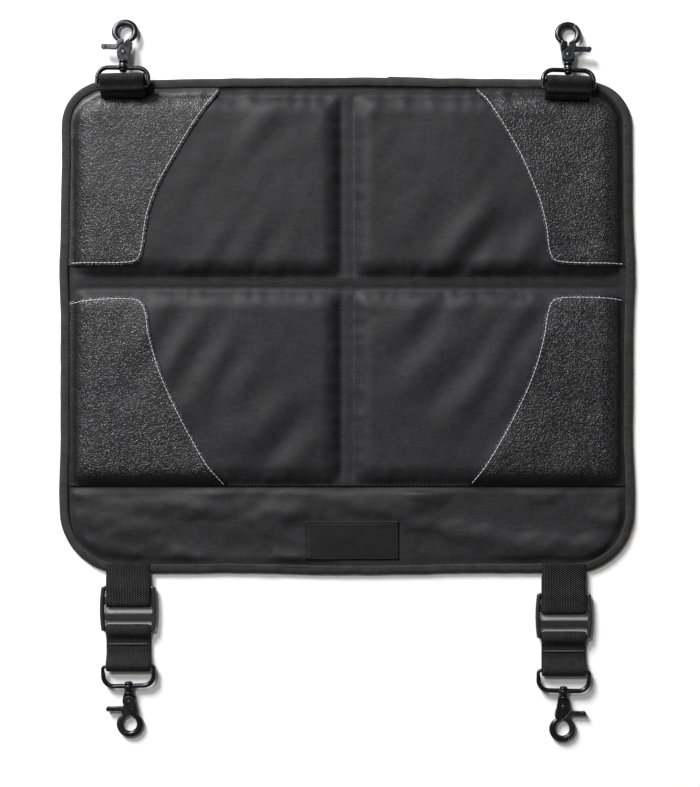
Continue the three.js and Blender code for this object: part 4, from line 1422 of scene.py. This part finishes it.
def hook_shape():
    shape = Shape()
    shape.lathe([(0, 12.9), (1.9, 12.95), (2.9, 13.3), (3.3, 14.0), (3.2, 14.6), (2.6, 14.9), (1.55, 14.9),
                 (1.55, 20.75), (3.5, 20.75), (4.05, 21.1), (4.1, 21.9), (3.7, 22.4), (0, 22.4)])
    neck_top = RIVET_Y - 5.5
    shape.prism([(-3.6, 21.6), (3.6, 21.6), (4.6, neck_top), (-4.6, neck_top)], -HALF_THICK, HALF_THICK)
    cheek = [(-4.6, neck_top - 0.6), (4.6, neck_top - 0.6), (5.2, RIVET_Y - 1.5), (5.5, RIVET_Y + 2.0),
             (6.2, RIVET_Y + 5.5), (6.0, RIVET_Y + 9.5), (2.2, RIVET_Y + 10.8), (0.7, RIVET_Y + 9.6),
             (0.2, RIVET_Y + 8.4), (-2.6, RIVET_Y + 6.2), (-4.6, RIVET_Y + 3.7), (-5.6, RIVET_Y + 1.3),
             (-5.8, RIVET_Y - 0.8), (-5.3, RIVET_Y - 3.2)]
    shape.prism(cheek, SPLIT, HALF_THICK)
    web = [(5.6, RIVET_Y + 1.2), (6.4, RIVET_Y + 4.5), (6.6, RIVET_Y + 8.5), (4.6, RIVET_Y + 12.4),
           (1.4, RIVET_Y + 11.6), (0.6, RIVET_Y + 10.2), (0.6, RIVET_Y + 6.0), (3.2, RIVET_Y + 4.9),
           (4.6, RIVET_Y + 3.4)]
    shape.prism(web, -HALF_THICK + 0.1, SPLIT + 0.3)
    path = arc(0, RING_Y, RING_MID, -66, 122.6, 60)
    shape.tube(path, [min(RING_BAR, 1.9 + 0.05 * i) for i in range(len(path))], flat=HALF_THICK / RING_BAR)
    return shape


def gate_shape():
    shape = Shape()
    plate = arc(0, RIVET_Y, 5.2, 150, 400, 30)
    plate += [(1.6, RIVET_Y + 5.4), (-0.4, RIVET_Y + 8.0), (-0.4, RIVET_Y + 10.6), (-3.4, RIVET_Y + 12.2),
              (-6.4, RIVET_Y + 9.0), (-6.4, RIVET_Y + 5.0)]
    shape.prism(plate, -HALF_THICK, -SPLIT)
    web = [(-0.5, RIVET_Y + 9.2), (-0.5, RIVET_Y + 10.8), (-2.6, RIVET_Y + 12.2), (-6.2, RIVET_Y + 10.0),
           (-6.7, RIVET_Y + 6.5), (-6.6, RIVET_Y + 3.4), (-5.9, RIVET_Y + 3.2), (-4.9, RIVET_Y + 4.5),
           (-2.9, RIVET_Y + 6.9)]
    shape.prism(web, -SPLIT - 0.3, HALF_THICK - 0.1)
    path = arc(0, RING_Y, RING_MID, 124.0, 246, 44)
    last = len(path) - 1
    shape.tube(path, [min(RING_BAR, 1.9 + 0.05 * (last - i)) for i in range(len(path))],
               flat=HALF_THICK / RING_BAR)
    lever_y = RIVET_Y + 5.3
    outline = [(-4.4, lever_y - 2.3), (-4.0, lever_y + 2.2), (-6.2, lever_y + 2.0), (-16.5, lever_y + 1.75)]
    outline += arc(-17.3, lever_y, 1.75, 90, 270, 12)
    outline += [(-16.5, lever_y - 1.75), (-6.2, lever_y - 1.85)]
    shape.prism(outline, -HALF_THICK + 0.1, HALF_THICK - 0.9)
    shape.prism(arc(-17.2, lever_y, 2.0, 0, 345, 24), -HALF_THICK, HALF_THICK - 0.6)
    return shape


def rivet_shape():
    shape = Shape()
    face = HALF_THICK + 0.28
    shape.lathe([(0, -face - 0.6), (1.0, -face - 0.52), (1.75, -face - 0.25), (2.1, -face), (1.35, -face),
                 (1.35, face), (2.1, face), (1.75, face + 0.25), (1.0, face + 0.52), (0, face + 0.6)],
                centre=(0, RIVET_Y, 0), axis="Z", sides=36)
    return shape


def spring_shape():
    shape = Shape()
    turns, steps, sides = 2, 56, 8
    rings = []
    for i in range(turns * steps + 1):
        turn = i / steps
        angle = math.tau * turn
        level = (turn - turns / 2) * 0.62
        ring = []
        for k in range(sides):
            around = math.tau * k / sides
            radius = 2.7 + 0.25 * math.cos(around)
            ring.append(shape.mesh.verts.new((radius * math.cos(angle), RIVET_Y + radius * math.sin(angle),
                                              level + 0.25 * math.sin(around))))
        rings.append(ring)
    shape.skin(rings)
    return shape


# Kind: shape, look, voxel in millimetres, body, slot and smoothing passes
HOOK_PIECES = {
    "eye": (eye_shape, black_metal, 0.38, "swivel_eye", "hook_metal", 3),
    "hook": (hook_shape, black_metal, 0.3, "snap_hook", "hook_metal", 3),
    "gate": (gate_shape, gate_metal, 0.3, "hook_gate", "hook_metal", 3),
    "rivet": (rivet_shape, rivet_metal, 0.2, "snap_hook", "hook_metal", 2),
    "spring": (spring_shape, spring_metal, 0.12, "snap_hook", "spring_steel", 1),
}

for name in CORNERS:
    place = local_frame(name)
    for kind, (make, look, voxel, body, slot, passes) in HOOK_PIECES.items():
        make().finish(f"{kind} {name}", place, look, voxel, f"{body}_{name}", f"{kind}_{name}",
                      slot, passes)


# Floor, light and camera

floor_paint, floor_tree, floor_shader = material("floor", (0.88, 0.88, 0.878), 0.85)
floor_mesh = bpy.data.meshes.new("floor")
floor_mesh.from_pydata([(-4, -4, 0), (4, -4, 0), (4, 4, 0), (-4, 4, 0)], [], [(0, 1, 2, 3)])
floor_mesh.materials.append(floor_paint)
floor = bpy.data.objects.new("floor", floor_mesh)
bpy.context.scene.collection.objects.link(floor)
floor.location.z = -0.0004
floor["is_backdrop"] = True

world = bpy.data.worlds.new("studio")
world.use_nodes = True
world.node_tree.nodes["Background"].inputs["Color"].default_value = (1, 0.95, 0.93, 1)
world.node_tree.nodes["Background"].inputs["Strength"].default_value = 0.14
bpy.context.scene.world = world


def area_light(name, place, target, size, power):
    data = bpy.data.lights.new(name, "AREA")
    data.shape = "DISK"
    data.size = size
    data.energy = power
    light = bpy.data.objects.new(name, data)
    bpy.context.scene.collection.objects.link(light)
    light.location = place
    light.rotation_euler = (Vector(target) - Vector(place)).to_track_quat("-Z", "Y").to_euler()
    light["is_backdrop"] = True


area_light("key", (-2.7, 4.2, 3.0), (0, 0, 0), 2.2, 640)
area_light("softbox", (-0.55, 0.66, 1.7), (-0.1, 0.1, 0), 0.38, 14)

CAMERA_HEIGHT = 1.3
SENSOR_MM = 36
VIEW_MM = 650
camera_data = bpy.data.cameras.new("camera")
camera_data.lens = SENSOR_MM / VIEW_MM * CAMERA_HEIGHT / MM
camera_data.sensor_width = SENSOR_MM
camera_data.sensor_fit = "AUTO"
camera = bpy.data.objects.new("camera", camera_data)
bpy.context.scene.collection.objects.link(camera)
camera.location = (0.0025, -0.0549, CAMERA_HEIGHT)
camera.rotation_euler = (0, 0, 0)
bpy.context.scene.camera = camera
bpy.context.scene.view_settings.view_transform = "Standard"

low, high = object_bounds()
